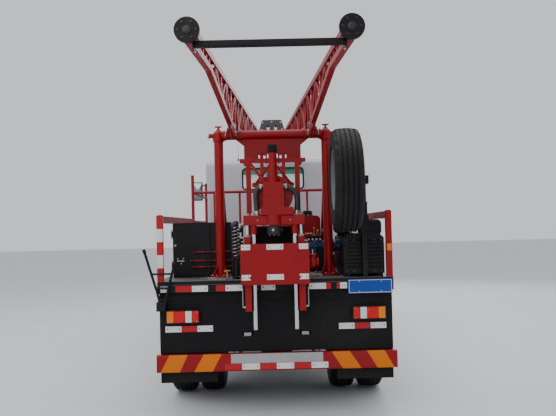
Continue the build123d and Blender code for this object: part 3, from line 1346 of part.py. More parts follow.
# Drill rods lying in two racks on the right of the deck, and the short auger that stands at the rear
rod_radius = 34
rod_pitch = 2 * rod_radius + 1
rack_x = 780
rack_bed = deck_top + 48
row_rise = ((2 * rod_radius + seat_gap) ** 2 - (rod_pitch / 2) ** 2) ** 0.5
with BuildPart() as drill_rods:
    for row, row_count in enumerate((5, 4)):
        row_z = rack_bed + seat_gap + rod_radius + row * row_rise
        for index in range(row_count):
            rod_y(rack_x + (index - (row_count - 1) / 2) * rod_pitch, (1650, 4650), row_z, rod_radius)
    for rack_ahead in (2050, 3250, 4250):
        with BuildSketch(across(rack_ahead)):
            with BuildLine():
                Polyline((rack_x - 230, deck_top), (rack_x - 230, deck_top + 190),
                         (rack_x - 200, deck_top + 190), (rack_x - 180, rack_bed), (rack_x + 180, rack_bed),
                         (rack_x + 200, deck_top + 190), (rack_x + 230, deck_top + 190),
                         (rack_x + 230, deck_top), close=True)
            make_face()
        extrude(amount=25, both=True)
drill_rods.part.label = "drill_rods"
export_step(drill_rods.part, "parts/drill_rods.step")

auger_x = -392
auger_ahead = 150
with BuildPart() as auger:
    rod_z(auger_x, auger_ahead, (deck_top, deck_top + 560), 16)
    for turn in range(12):
        turn_z = deck_top + 50 + turn * 41
        rod_z(auger_x, auger_ahead, (turn_z, turn_z + 12), 38)
auger.part.label = "auger"
export_step(auger.part, "parts/auger.step")

# Jack legs: the rods with their round feet
for side_name, side in sides:
    with BuildPart() as jack_leg:
        rod_z(side * jack_x, jack_ahead, (jack_bottom - 40, jack_top - 80), jack_rod_radius)
        with BuildSketch(Plane(origin=(side * jack_x, station(jack_ahead), 0), x_dir=(1, 0, 0),
                               z_dir=(0, -1, 0))):
            with BuildLine():
                Polyline((0, jack_bottom - 44), (jack_foot_radius, jack_bottom - 44),
                         (jack_foot_radius, jack_bottom - 32), (jack_rod_radius + 12, jack_bottom - 8),
                         (0, jack_bottom - 8), close=True)
            make_face()
        revolve(axis=Axis((side * jack_x, station(jack_ahead), 0), (0, 0, 1)), revolution_arc=360)
    jack_leg.part.label = f"jack_leg_{side_name}"
    export_step(jack_leg.part, f"parts/jack_leg_{side_name}.step")
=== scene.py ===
# %% [markdown]
# # A truck-mounted drilling rig, dressed
# The model that this script loads has every piece at its real size and place. What it lacks is looks:
# dusty red paint, tyre tread, bolts, stripes and lenses. This lesson adds them step by step, and each
# piece is tied to the moving body it belongs to, so that the mast can still rise and the wheels turn.
#
# The first cell loads the model; the next measures its boxes before anything is added.

from math import copysign, cos, exp, pi, radians, sin

import bmesh
import bpy
from mathutils import Matrix, Vector


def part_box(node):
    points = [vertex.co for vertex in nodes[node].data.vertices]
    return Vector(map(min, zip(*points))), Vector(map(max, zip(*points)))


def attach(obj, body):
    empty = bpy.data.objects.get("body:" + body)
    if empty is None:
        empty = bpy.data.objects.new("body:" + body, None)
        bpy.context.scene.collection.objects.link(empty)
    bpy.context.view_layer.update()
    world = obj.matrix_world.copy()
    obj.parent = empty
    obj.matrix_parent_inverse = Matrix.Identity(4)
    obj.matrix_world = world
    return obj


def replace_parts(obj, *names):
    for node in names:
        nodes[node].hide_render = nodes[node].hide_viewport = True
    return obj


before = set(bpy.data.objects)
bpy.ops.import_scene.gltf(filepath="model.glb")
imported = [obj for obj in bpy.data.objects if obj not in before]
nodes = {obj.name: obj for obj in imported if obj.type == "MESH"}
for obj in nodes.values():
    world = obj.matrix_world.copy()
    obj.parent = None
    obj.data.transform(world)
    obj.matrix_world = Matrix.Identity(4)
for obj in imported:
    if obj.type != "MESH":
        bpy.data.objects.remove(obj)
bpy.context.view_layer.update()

# %% [markdown]
# ## Where things are
# Places along the truck are easiest to read as distances ahead of the deck's rear edge, as a fitter would
# measure them with a tape. The deck's own box gives that edge, so nothing is typed twice. The tyre box gives
# the tyre's radius and the rear axle's station.

# %% Stations measured from the model
RIGHT, FORWARD, BACK, UP = (1, 0, 0), (0, 1, 0), (0, -1, 0), (0, 0, 1)
deck_low, deck_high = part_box("deck")
deck_rear = deck_low.y
deck_top = deck_high.z
tyre_low, tyre_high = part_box("rear_tyres_left")
tyre_radius = (tyre_high.z - tyre_low.z) / 2
rear_axle_y = (tyre_high.y + tyre_low.y) / 2


def ahead(distance):
    """Row position of a place given in metres ahead of the deck's rear edge."""
    return deck_rear + distance


print("deck rear", round(deck_rear, 4), "deck top", round(deck_top, 3), "tyre radius", round(tyre_radius, 3))

# %% [markdown]
# ## The camera, where the photograph was taken
# It was taken from behind the truck at head height, a little turned and a little tilted. A lens
# of 47 mm on a 36 mm sensor gives the same convergence of the mast's legs. The camera comes first, because
# every later choice of detail is judged through it.

# %% Camera
PHOTO_WIDTH = 556
FOCAL_PIXELS = 730
YAW, PITCH, ROLL = radians(0.34), radians(1.41), radians(1.35)


def aim(yaw, pitch, roll):
    """Rotation of a camera that looks along +Y, turned right by yaw, up by pitch and clockwise by roll."""
    forward = Vector((sin(yaw) * cos(pitch), cos(yaw) * cos(pitch), sin(pitch)))
    level = forward.cross(Vector(UP)).normalized()
    upright = level.cross(forward)
    right = level * cos(roll) - upright * sin(roll)
    up = upright * cos(roll) + level * sin(roll)
    return Matrix((right, up, -forward)).transposed()


camera_data = bpy.data.cameras.new("rear view")
camera_data.sensor_width = 36
camera_data.lens = FOCAL_PIXELS / PHOTO_WIDTH * camera_data.sensor_width
camera_data.clip_end = 200
camera = bpy.data.objects.new("rear view", camera_data)
camera.location = (0, ahead(-7.3), 1.85)
camera.rotation_euler = aim(YAW, PITCH, ROLL).to_euler()
bpy.context.scene.collection.objects.link(camera)
bpy.context.scene.camera = camera
print("camera lens", round(camera_data.lens, 2), "mm at", [round(v, 3) for v in camera.location])

# %% [markdown]
# ## Soft studio light
# The day was overcast, so the light has no hard shadow. A pale world fills every side, one wide panel
# overhead does the work of the cloud, and a weaker one behind the camera keeps the rear face readable.

# %% Lights and floor
world = bpy.data.worlds.new("studio")
world.use_nodes = True
world.node_tree.nodes["Background"].inputs["Color"].default_value = (0.93, 0.95, 1, 1)
world.node_tree.nodes["Background"].inputs["Strength"].default_value = 0.85
bpy.context.scene.world = world


def soft_panel(name, place, target, size, watts):
    """Rectangular light that faces a target."""
    data = bpy.data.lights.new(name, "AREA")
    data.shape = "RECTANGLE"
    data.size, data.size_y = size
    data.energy = watts
    light = bpy.data.objects.new(name, data)
    light.location = place
    light.rotation_euler = (Vector(target) - Vector(place)).to_track_quat("-Z", "Y").to_euler()
    bpy.context.scene.collection.objects.link(light)
    return light


soft_panel("overhead cloud", (-1.5, 0, 10.5), (0, 0, 0), (9, 14), 800)
soft_panel("behind the camera", (-3.5, ahead(-9), 6.5), (0, ahead(0), 1.6), (7, 5), 230)
soft_panel("front fill", (5, ahead(14), 6), (0, ahead(6), 1.5), (7, 5), 300)

floor_mesh = bpy.data.meshes.new("studio floor")
floor_mesh.from_pydata([(-60, -60, 0), (60, -60, 0), (60, 60, 0), (-60, 60, 0)], [], [(0, 1, 2, 3)])
floor = bpy.data.objects.new("studio_floor", floor_mesh)
bpy.context.scene.collection.objects.link(floor)

# %% [markdown]
# ## Effects that many finishes share
# Dust, fine grain and chipped paint show up on every surface of a working truck. Each is a node group, so one
# recipe serves twenty materials with different numbers. The groups read object coordinates, which stay with
# the piece when it moves.

# %% Node group helpers
def new_group(name, sockets_in, sockets_out):
    """Empty shader group with its sockets. Each socket is (name, type) or (name, type, default)."""
    group = bpy.data.node_groups.new(name, "ShaderNodeTree")
    for socket in sockets_in:
        made = group.interface.new_socket(name=socket[0], in_out="INPUT", socket_type=socket[1])
        if len(socket) > 2:
            made.default_value = socket[2]
    for socket in sockets_out:
        group.interface.new_socket(name=socket[0], in_out="OUTPUT", socket_type=socket[1])
    return group, group.nodes.new("NodeGroupInput"), group.nodes.new("NodeGroupOutput")


def feed(tree, socket, value):
    """Give an input a number, a colour or the output of another node."""
    if isinstance(value, bpy.types.NodeSocket):
        tree.links.new(value, socket)
    else:
        socket.default_value = (*value, 1) if isinstance(value, tuple) else value


def set_inputs(tree, node, **values):
    """Feed the inputs of a node by name, with _ for each space."""
    for name, value in values.items():
        feed(tree, node.inputs[name.replace("_", " ")], value)
    return node


def new_node(tree, kind, **values):
    """Shader node of one kind with its inputs fed."""
    return set_inputs(tree, tree.nodes.new("ShaderNode" + kind), **values)


def math_node(tree, operation, first, second=None, clamp=False):
    """Math node whose inputs are sockets or numbers; returns its output socket."""
    node = new_node(tree, "Math")
    node.operation = operation
    node.use_clamp = clamp
    feed(tree, node.inputs[0], first)
    if second is not None:
        feed(tree, node.inputs[1], second)
    return node.outputs[0]


def noise_node(tree, vector, scale, detail):
    """Noise value over object coordinates; scale is a number or a socket."""
    return new_node(tree, "TexNoise", Detail=detail, Vector=vector, Scale=scale).outputs["Fac"]


def step_between(tree, value, low, high):
    """Smooth 0 to 1 as value goes from low to high."""
    node = new_node(tree, "MapRange", Value=value, From_Min=low, From_Max=high)
    node.interpolation_type = "SMOOTHSTEP"
    return node.outputs["Result"]


FLOAT = "NodeSocketFloat"
print("group helpers ready")

# %% Road dust and patchy fading
grime, grime_in, grime_out = new_group("Road grime", [("Patch Scale", FLOAT, 2.2),
    ("Dust Amount", FLOAT, 0.5)], [("Patch", FLOAT), ("Dust", FLOAT)])
coords = new_node(grime, "TexCoord")
patch = noise_node(grime, coords.outputs["Object"], grime_in.outputs["Patch Scale"], 4)
speckle = noise_node(grime, coords.outputs["Object"], 38, 5)
split = new_node(grime, "SeparateXYZ", Vector=coords.outputs["Normal"])
facing_up = step_between(grime, split.outputs["Z"], 0.15, 0.95)
lying = math_node(grime, "MULTIPLY", facing_up, 0.75)
clinging = math_node(grime, "MULTIPLY", step_between(grime, patch, 0.45, 0.72), 0.35)
settled = math_node(grime, "ADD", lying, clinging)
broken = math_node(grime, "MULTIPLY", settled, step_between(grime, speckle, 0.25, 0.62))
dust = math_node(grime, "MULTIPLY", broken, grime_in.outputs["Dust Amount"], clamp=True)
grime.links.new(patch, grime_out.inputs["Patch"])
grime.links.new(dust, grime_out.inputs["Dust"])
print("group", grime.name, [item.name for item in grime.interface.items_tree])

# %% Chips and scratches
chips, chips_in, chips_out = new_group("Paint chips", [("Density", FLOAT, 0.5), ("Size", FLOAT, 30)],
    [("Chips", FLOAT)])
coords = new_node(chips, "TexCoord")
flake = new_node(chips, "TexVoronoi", Vector=coords.outputs["Object"], Scale=chips_in.outputs["Size"])
spot = step_between(chips, flake.outputs["Distance"], 0.22, 0.12)
where = step_between(chips, noise_node(chips, coords.outputs["Object"], 5, 6), 0.56, 0.66)
found = math_node(chips, "MULTIPLY", spot, where)
chips.links.new(math_node(chips, "MULTIPLY", found, chips_in.outputs["Density"], clamp=True),
    chips_out.inputs["Chips"])
print("group", chips.name)

# %% Fine grain for bump and gloss
grain, grain_in, grain_out = new_group("Fine grain", [("Scale", FLOAT, 60), ("Stretch", FLOAT, 1)],
    [("Height", FLOAT)])
coords = new_node(grain, "TexCoord")
combine = new_node(grain, "CombineXYZ", X=1, Y=1, Z=grain_in.outputs["Stretch"])
squeeze = new_node(grain, "VectorMath")
squeeze.operation = "MULTIPLY"
feed(grain, squeeze.inputs[0], coords.outputs["Object"])
feed(grain, squeeze.inputs[1], combine.outputs[0])
grain.links.new(noise_node(grain, squeeze.outputs[0], grain_in.outputs["Scale"], 6),
    grain_out.inputs["Height"])
print("group", grain.name)

# %% [markdown]
# ## Finishes
# Paint, rubber, bare steel and lenses differ in colour, gloss and how dust lies on them. One helper wires the
# shared groups into a Principled shader, and each finish then sets its own numbers there. Values that are
# the same all over the piece go straight on the shader's sockets.

# %% A finish from the shared groups
def place_group(tree, group, **values):
    """Group node in a material with its inputs set."""
    node = new_node(tree, "Group")
    node.node_tree = group
    return set_inputs(tree, node, **values)


def mix_colour(tree, mask, first, second):
    """Colour that goes from first to second with the mask; each is a socket or an RGB triple."""
    node = new_node(tree, "Mix")
    node.data_type = "RGBA"
    feed(tree, node.inputs["Factor"], mask)
    feed(tree, node.inputs[6], first)
    feed(tree, node.inputs[7], second)
    return node.outputs[2]


def new_material(name):
    """Material with its node tree and its shader."""
    material = bpy.data.materials.new(name)
    material.use_nodes = True
    return material, material.node_tree, material.node_tree.nodes["Principled BSDF"]


DUST_COLOUR = (0.24, 0.21, 0.18)


def finish(name, light, dark, rough=(0.35, 0.55), metal=0, dust=0.4, chip=0, chip_colour=(0.08, 0.05, 0.04),
        patch_scale=2.2, grain_scale=60, stretch=1, bump=0.0006, coat=0, shine=0.5):
    """Material whose colour drifts between two tones, with chips, dust and a fine bump."""
    material, tree, shader = new_material(name)
    dirt = place_group(tree, grime, Patch_Scale=patch_scale, Dust_Amount=dust)
    colour = mix_colour(tree, dirt.outputs["Patch"], light, dark)
    if chip:
        flakes = place_group(tree, chips, Density=chip)
        colour = mix_colour(tree, flakes.outputs["Chips"], colour, chip_colour)
    colour = mix_colour(tree, dirt.outputs["Dust"], colour, DUST_COLOUR)
    fine = place_group(tree, grain, Scale=grain_scale, Stretch=stretch)
    dull = math_node(tree, "MULTIPLY", dirt.outputs["Dust"], 0.7)
    worn = math_node(tree, "ADD", fine.outputs["Height"], dull, clamp=True)
    gloss = new_node(tree, "MapRange", Value=worn, To_Min=rough[0], To_Max=rough[1])
    relief = new_node(tree, "Bump", Distance=bump, Height=fine.outputs["Height"])
    set_inputs(tree, shader, Base_Color=colour, Roughness=gloss.outputs["Result"], Metallic=metal,
        Specular_IOR_Level=shine, Coat_Weight=coat, Coat_Roughness=0.12, Normal=relief.outputs["Normal"])
    return material


print("finish helper ready")

# %% Paints
red_paint = finish("rig red paint", (0.34, 0.002, 0.006), (0.23, 0.001, 0.004), (0.3, 0.5), dust=0.07,
    chip=0.5, coat=0.06, shine=0.25)
mast_red = finish("mast red paint", (0.31, 0.006, 0.013), (0.21, 0.004, 0.009), (0.36, 0.55), dust=0.12,
    chip=0.5, coat=0.04, shine=0.3)
black_paint = finish("chassis black", (0.005, 0.0045, 0.006), (0.009, 0.008, 0.009), (0.32, 0.55), dust=0.07,
    chip=0.3, chip_colour=(0.06, 0.045, 0.04), shine=0.22)
grey_paint = finish("dark grey paint", (0.05, 0.048, 0.053), (0.03, 0.03, 0.033), (0.4, 0.6), dust=0.25,
    chip=0.4)
# The cab is white; this grey with a purple hint is painted shade that darkens the white all over.
shaded_cab_white = finish("cab silver white", (0.47, 0.46, 0.49), (0.39, 0.38, 0.42), (0.2, 0.34), dust=0.18,
    coat=0.4)
blue_paint = finish("pump blue", (0.008, 0.055, 0.2), (0.006, 0.035, 0.13), (0.3, 0.5), dust=0.2, chip=0.5,
    shine=0.3)
orange_paint = finish("stripe orange", (0.74, 0.19, 0.003), (0.62, 0.14, 0.002), (0.35, 0.5), dust=0.06,
    shine=0.2)
white_paint = finish("marker white", (0.72, 0.72, 0.7), (0.6, 0.6, 0.59), (0.3, 0.45), dust=0.15)
rim_paint = finish("rim grey", (0.26, 0.265, 0.28), (0.17, 0.17, 0.18), (0.35, 0.6), dust=0.5, chip=0.5)
print("paints", len(bpy.data.materials))

# %% Metals, rubber and cloth
deck_steel = finish("worn deck steel", (0.17, 0.17, 0.175), (0.09, 0.086, 0.085), (0.35, 0.62), metal=0.6,
    chip=0.6, chip_colour=(0.14, 0.08, 0.05), bump=0.001)
bare_steel = finish("bare steel", (0.46, 0.45, 0.43), (0.3, 0.28, 0.26), (0.28, 0.5), metal=0.95, dust=0.25,
    chip=0.3, chip_colour=(0.2, 0.1, 0.05))
rod_chrome = finish("rod chrome", (0.78, 0.78, 0.8), (0.66, 0.66, 0.68), (0.1, 0.22), metal=1, dust=0.08,
    bump=0.0001)
zinc = finish("zinc bolts", (0.5, 0.5, 0.48), (0.36, 0.35, 0.33), (0.3, 0.5), metal=0.9, dust=0.3)
tyre_rubber = finish("tyre rubber", (0.009, 0.009, 0.01), (0.016, 0.015, 0.015), (0.55, 0.8), dust=0.2,
    grain_scale=140, bump=0.0012, shine=0.2)
black_rubber = finish("black rubber", (0.005, 0.004, 0.005), (0.009, 0.008, 0.009), (0.45, 0.7), dust=0.07,
    grain_scale=120, bump=0.0008, shine=0.18)
hose_rubber = finish("hose rubber", (0.012, 0.012, 0.013), (0.022, 0.021, 0.02), (0.38, 0.6), dust=0.3,
    grain_scale=200)
black_plastic = finish("moulded black plastic", (0.008, 0.008, 0.009), (0.013, 0.013, 0.014), (0.42, 0.6),
    dust=0.12, grain_scale=260, bump=0.0004, shine=0.25)
seat_cloth = finish("woven seat cloth", (0.06, 0.065, 0.075), (0.04, 0.042, 0.05), (0.8, 0.95), dust=0.15,
    grain_scale=420, bump=0.0015)
brass_fitting = finish("valve brass", (0.55, 0.42, 0.2), (0.42, 0.3, 0.13), (0.3, 0.5), metal=0.8, dust=0.25)
print("materials", len(bpy.data.materials))

# %% [markdown]
# Glass keeps its plain transmission, because a linked mask would be lost when the piece is passed on to other
# programs. Lamp lenses are a clear coat over strong colour, and they glow a little in daylight. The checkered
# deck plate is a pattern that belongs to the surface, so it is drawn by the material.

# %% Glass, lenses and reflectors
def glass_finish(name, tint, alpha, transmission=0.9):
    """Tinted safety glass."""
    material, tree, shader = new_material(name)
    set_inputs(tree, shader, Base_Color=tint, Metallic=0, Roughness=0.06, IOR=1.5,
        Transmission_Weight=transmission, Alpha=alpha)
    return material


def lens_finish(name, light, dark, glow=0):
    """Moulded lamp lens: deep colour under a hard clear surface."""
    material = finish(name, light, dark, (0.08, 0.2), dust=0.05, grain_scale=300, bump=0.0002, coat=0.25,
        shine=0.25)
    tree = material.node_tree
    set_inputs(tree, tree.nodes["Principled BSDF"], Emission_Color=light, Emission_Strength=glow)
    return material


cab_window = glass_finish("green safety glass", (0.55, 0.74, 0.65), 0.35)
lamp_glass = glass_finish("clear lamp glass", (0.9, 0.93, 0.95), 0.55)
mirror_glass = finish("silvered mirror", (0.3, 0.32, 0.35), (0.26, 0.28, 0.3), (0.03, 0.06), metal=1,
    dust=0.05, bump=0.00002)
red_lens = lens_finish("red lamp lens", (0.58, 0.003, 0.006), (0.45, 0.002, 0.004), 0.12)
amber_lens = lens_finish("amber lamp lens", (0.8, 0.2, 0.002), (0.68, 0.15, 0.002), 0.12)
clear_lens = lens_finish("clear lamp lens", (0.72, 0.73, 0.74), (0.62, 0.63, 0.65), 0.05)
red_tape = lens_finish("red reflective tape", (0.5, 0.004, 0.014), (0.4, 0.003, 0.01))
white_tape = lens_finish("white reflective tape", (0.78, 0.78, 0.76), (0.68, 0.68, 0.66))
plate_blue = finish("blue plate", (0.006, 0.07, 0.36), (0.006, 0.055, 0.29), (0.25, 0.4), dust=0.06,
    shine=0.25)
plate_grey = finish("bare sheet plate", (0.42, 0.43, 0.44), (0.33, 0.33, 0.34), (0.35, 0.5), metal=0.5,
    dust=0.3)
cap_purple = finish("purple plastic cap", (0.085, 0.018, 0.13), (0.05, 0.012, 0.085), (0.35, 0.5), dust=0.1)
dark_steel = finish("oiled dark steel", (0.05, 0.045, 0.045), (0.028, 0.025, 0.026), (0.3, 0.5), metal=0.7,
    dust=0.2)
rod_steel = finish("weathered rod steel", (0.115, 0.095, 0.085), (0.055, 0.042, 0.036), (0.35, 0.6),
    metal=0.6, dust=0.25, chip=0.6, chip_colour=(0.1, 0.05, 0.03), grain_scale=90, shine=0.3)
print("lenses and plates", len(bpy.data.materials))

# %% Checkered deck plate and the studio floor
checker, checker_in, checker_out = new_group("Raised checker", [("Pitch", FLOAT, 0.03)], [("Height", FLOAT)])
coords = new_node(checker, "TexCoord")
axes = new_node(checker, "SeparateXYZ", Vector=coords.outputs["Object"])
ridges = []
for sign in (1, -1):
    slanted = math_node(checker, "ADD", axes.outputs["X"], math_node(checker, "MULTIPLY", axes.outputs["Y"],
        sign))
    turns = math_node(checker, "DIVIDE", slanted, checker_in.outputs["Pitch"])
    wave = math_node(checker, "SINE", math_node(checker, "MULTIPLY", turns, pi))
    ridges.append(step_between(checker, math_node(checker, "ABSOLUTE", wave), 0.86, 0.97))
checker.links.new(math_node(checker, "MAXIMUM", ridges[0], ridges[1]), checker_out.inputs["Height"])


def add_relief(material, group, distance, **values):
    """Second bump over a finish, for a pattern that is rolled into the plate."""
    tree = material.node_tree
    normal = tree.nodes["Principled BSDF"].inputs["Normal"]
    height = place_group(tree, group, **values).outputs["Height"]
    relief = new_node(tree, "Bump", Distance=distance, Height=height, Normal=normal.links[0].from_socket)
    tree.links.new(relief.outputs["Normal"], normal)



add_relief(deck_steel, checker, 0.003, Pitch=0.03)
floor_paint = finish("pale studio floor", (0.62, 0.63, 0.65), (0.6, 0.61, 0.63), (0.5, 0.62), dust=0,
    patch_scale=0.3)
floor.data.materials.append(floor_paint)
print("deck pattern", checker.name, "floor", floor_paint.name)

# %% [markdown]
# ## One finish for each piece of the model
# The record says which slot each piece takes. Here every node gets its real finish, so nothing is left with
# the grey that it was loaded with. The mast is a duller red than the portal, since it was painted earlier and
# lies in the weather.

# %% Finishes on the loaded pieces
node_finish = {
    red_paint: "cover_plate portal crosshead rotary_head feed_frame corner_posts rear_bumper hydraulic_tank "
               "lift_foot lift_yoke jack_leg_left jack_leg_right",
    mast_red: "mast_leg_left mast_leg_right guard_rails mast_rest",
    black_paint: "chassis_frame subframe rear_axle front_axle knuckle_left knuckle_right mast_feet cabinet "
                 "cabinet_door deck_engine boarding_ladder engine_block side_tanks lift_barrel",
    grey_paint: "crown_block front_bumper",
    black_plastic: "dashboard mirrors tail_lamps mudguards",
    black_rubber: "rear_panel",
    hose_rubber: "head_hoses",
    deck_steel: "deck",
    bare_steel: "auger",
    rod_steel: "drill_rods",
    rod_chrome: "feed_rods lift_rod",
    dark_steel: "spindle",
    shaded_cab_white: "cab_shell cab_door_left cab_door_right",
    cab_window: "cab_glass",
    rim_paint: "front_rim_left front_rim_right rear_rims_left rear_rims_right spare_rim",
    tyre_rubber: "front_tyre_left front_tyre_right rear_tyres_left rear_tyres_right spare_tyre",
    blue_paint: "hydraulic_pump",
    seat_cloth: "seats",
}


def dress(node, material):
    """Give a loaded piece one finish."""
    nodes[node].data.materials.clear()
    nodes[node].data.materials.append(material)


for material, names in node_finish.items():
    for name in names.split():
        dress(name, material)
left_bare = sorted(set(nodes) - {n for names in node_finish.values() for n in names.split()})
print("dressed", len(nodes) - len(left_bare), "left", left_bare)

# %% [markdown]
# ## Tools for the small parts
# Bolts, strips, pipes and seals are made with a few helpers that add shapes to one mesh. A whole row of bolts
# is one piece, which keeps the model light. `place` turns the mesh into a piece, smooths it except at sharp
# corners and ties it to the body that carries it.

# %% Shapes in a mesh
def place(name, mesh, material, body="root", bevel=0, fold=35):
    """Make the mesh a piece of that material on a moving body, with small bevels if asked."""
    bmesh.ops.remove_doubles(mesh, verts=mesh.verts, dist=1e-6)
    bmesh.ops.recalc_face_normals(mesh, faces=mesh.faces)
    data = bpy.data.meshes.new(name)
    mesh.to_mesh(data)
    mesh.free()
    data.shade_smooth()
    data.set_sharp_from_angle(angle=radians(fold))
    data.materials.append(material)
    piece = bpy.data.objects.new(name, data)
    bpy.context.scene.collection.objects.link(piece)
    if bevel:
        round_edges = piece.modifiers.new("rounded edges", "BEVEL")
        round_edges.width = bevel
        round_edges.segments = 2
        round_edges.limit_method = "ANGLE"
        round_edges.angle_limit = radians(40)
        round_edges.harden_normals = True
    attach(piece, body)
    return piece


def new_meshes(count):
    """Empty meshes, one for each piece to come."""
    return [bmesh.new() for _ in range(count)]


def even_angles(count, start=0):
    """Angles evenly round a full turn."""
    return [start + 2 * pi * k / count for k in range(count)]


def add_shell(mesh, loops, cap=True, ring=False):
    """Skin between closed loops of the same length, capped at both ends or joined into a ring."""
    rings = [[mesh.verts.new(point) for point in loop] for loop in loops]
    for low, high in zip(rings, rings[1:] + rings[:1] if ring else rings[1:]):
        for i in range(len(low)):
            mesh.faces.new((low[i - 1], low[i], high[i], high[i - 1]))
    if cap and not ring:
        mesh.faces.new(rings[0])
        mesh.faces.new(rings[-1])


print("mesh helpers ready")

# %% Blocks, bars, turned shapes, pipes and bolts
def add_block(mesh, low, high):
    """Square-cut block between two corners."""
    (x0, y0, z0), (x1, y1, z1) = low, high
    add_shell(mesh, [[(x0, y0, z), (x1, y0, z), (x1, y1, z), (x0, y1, z)] for z in (z0, z1)])


def side_axes(direction):
    """Two directions square to a given one."""
    along = Vector(direction).normalized()
    start = Vector(UP) if abs(along.z) < 0.9 else Vector(RIGHT)
    first = along.cross(start).normalized()
    return along, first, along.cross(first)


def circle_points(middle, direction, radius, sides=16, turn=0):
    """Points round a circle that faces a direction."""
    along, first, second = side_axes(direction)
    return [Vector(middle) + first * cos(a) * radius + second * sin(a) * radius for a in even_angles(sides,
        turn)]


def add_bar(mesh, start, end, radius, sides=16):
    """Round bar between two points."""
    direction = Vector(end) - Vector(start)
    add_shell(mesh, [circle_points(start, direction, radius, sides), circle_points(end, direction, radius,
        sides)])


def add_turned(mesh, start, direction, profile, sides=24, cap=True):
    """Turned shape: profile is (distance along, radius) from the start point."""
    along = Vector(direction).normalized()
    add_shell(mesh, [circle_points(Vector(start) + along * d, along, r, sides) for d, r in profile], cap=cap)


def add_pipe(mesh, points, radius, sides=12):
    """Bent pipe through points, with a mitre at each."""
    points = [Vector(p) for p in points]
    loops = []
    first = side_axes(points[1] - points[0])[1]
    for i, point in enumerate(points):
        before = (point - points[i - 1]).normalized() if i else (points[1] - point).normalized()
        after = (points[i + 1] - point).normalized() if i < len(points) - 1 else before
        middle = (before + after).normalized()
        first = (first - middle * first.dot(middle)).normalized()
        second = middle.cross(first)
        loops.append([point + first * cos(a) * radius + second * sin(a) * radius for a in even_angles(sides)])
    add_shell(mesh, loops)


def add_bolt(mesh, foot, direction, size=0.012, height=0.008):
    """Hexagon head with its washer; size is the head's corner radius."""
    add_turned(mesh, foot, direction, [(0, size * 1.25), (0.0018, size * 1.25)], 16)
    top = height + 0.0018
    add_turned(mesh, foot, direction, [(0.0018, size), (top - 0.0012, size), (top, size * 0.86)], 6)


def add_bolt_ring(mesh, middle, direction, radius, count, size=0.012, height=0.008, turn=0):
    """Bolts evenly round a circle."""
    for foot in circle_points(middle, direction, radius, count, turn):
        add_bolt(mesh, foot, direction, size, height)


def add_plate(mesh, corners, normal, thickness):
    """Flat plate whose back lies on the corners."""
    lift = Vector(normal).normalized() * thickness
    add_shell(mesh, [[Vector(c) for c in corners], [Vector(c) + lift for c in corners]])


def rear_plate(mesh, x_span, z_span, y, thickness=0.001):
    """Plate on a face that looks to the rear; y is that face."""
    corners = [(x_span[0], y, z_span[0]), (x_span[1], y, z_span[0]), (x_span[1], y, z_span[1]),
        (x_span[0], y, z_span[1])]
    add_plate(mesh, corners, BACK, thickness)


print("tools ready")

# %% [markdown]
# ## Tyres
# A truck tyre has five ribs with zigzag grooves between them, notched shoulders and rings moulded in its
# walls. The section is turned about the axle, and the groove edges step left and right from one slice to the
# next. Each new tyre stands for the smooth one of the model, which stays for collisions.

# %% A ribbed tyre
SLICES = 96
TREAD_HALF, TYRE_HALF, GROOVE_DEPTH, ZIGZAG = 0.101, 0.135, 0.011, 0.0035
GROOVES = (-0.07, -0.024, 0.024, 0.07)


def tread_radius(x):
    """Outside radius across the tread, a little round."""
    return tyre_radius - 0.002 - 0.011 * (x / TREAD_HALF) ** 2


def tyre_outline(slice_index):
    """Section of the tyre in one slice, as (across, radius), from bead to bead."""
    shift = ZIGZAG if slice_index % 2 else -ZIGZAG
    notch = 0.007 if slice_index % 4 in (1, 2) else 0
    wall = [(0.109, 0.2925), (0.121, 0.306), (0.128, 0.33), (0.1335, 0.334), (0.1335, 0.34), (0.1305, 0.344),
        (0.1335, 0.38), (0.135, 0.405), (0.1335, 0.43), (0.135, 0.433), (0.135, 0.439), (0.1325, 0.443),
        (0.127, 0.466), (0.118 - notch, 0.482 - notch), (TREAD_HALF + 0.006 - notch, 0.494 - notch)]
    tread = [(-TREAD_HALF, tread_radius(TREAD_HALF))]
    for groove in GROOVES:
        for x, depth in ((-0.006, 0), (-0.004, GROOVE_DEPTH), (0.004, GROOVE_DEPTH), (0.006, 0)):
            tread.append((groove + shift + x, tread_radius(groove) - depth))
    tread.append((TREAD_HALF, tread_radius(TREAD_HALF)))
    return [(-x, r) for x, r in wall] + tread + [(x, r) for x, r in reversed(wall)]


def add_tyre(mesh, middle):
    """Closed tyre round a middle point, with its axis across the truck."""
    add_shell(mesh, [[(middle[0] + x, middle[1] + r * cos(angle), middle[2] + r * sin(angle))
        for x, r in tyre_outline(i)] for i, angle in enumerate(even_angles(SLICES))], ring=True)


def node_middle(node):
    """Middle of a piece's box."""
    low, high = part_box(node)
    return (low + high) / 2


tyre_places = {}
for side, sign in (("left", -1), ("right", 1)):
    front = node_middle(f"front_tyre_{side}")
    tyre_places[f"front_tyre_{side}"] = (f"front_wheel_{side}", [front])
    rear_low, rear_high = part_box(f"rear_tyres_{side}")
    pair = [Vector((x, rear_axle_y, tyre_radius)) for x in (rear_low.x + TYRE_HALF, rear_high.x - TYRE_HALF)]
    tyre_places[f"rear_tyres_{side}"] = (f"rear_wheels_{side}", pair)
tyre_places["spare_tyre"] = ("root", [node_middle("spare_tyre")])
for node, (body, middles) in tyre_places.items():
    mesh = bmesh.new()
    for middle in middles:
        add_tyre(mesh, middle)
    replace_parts(place(f"ribbed_{node}", mesh, tyre_rubber, body, fold=28), node)
print("tyres", sum(len(m) for b, m in tyre_places.values()))
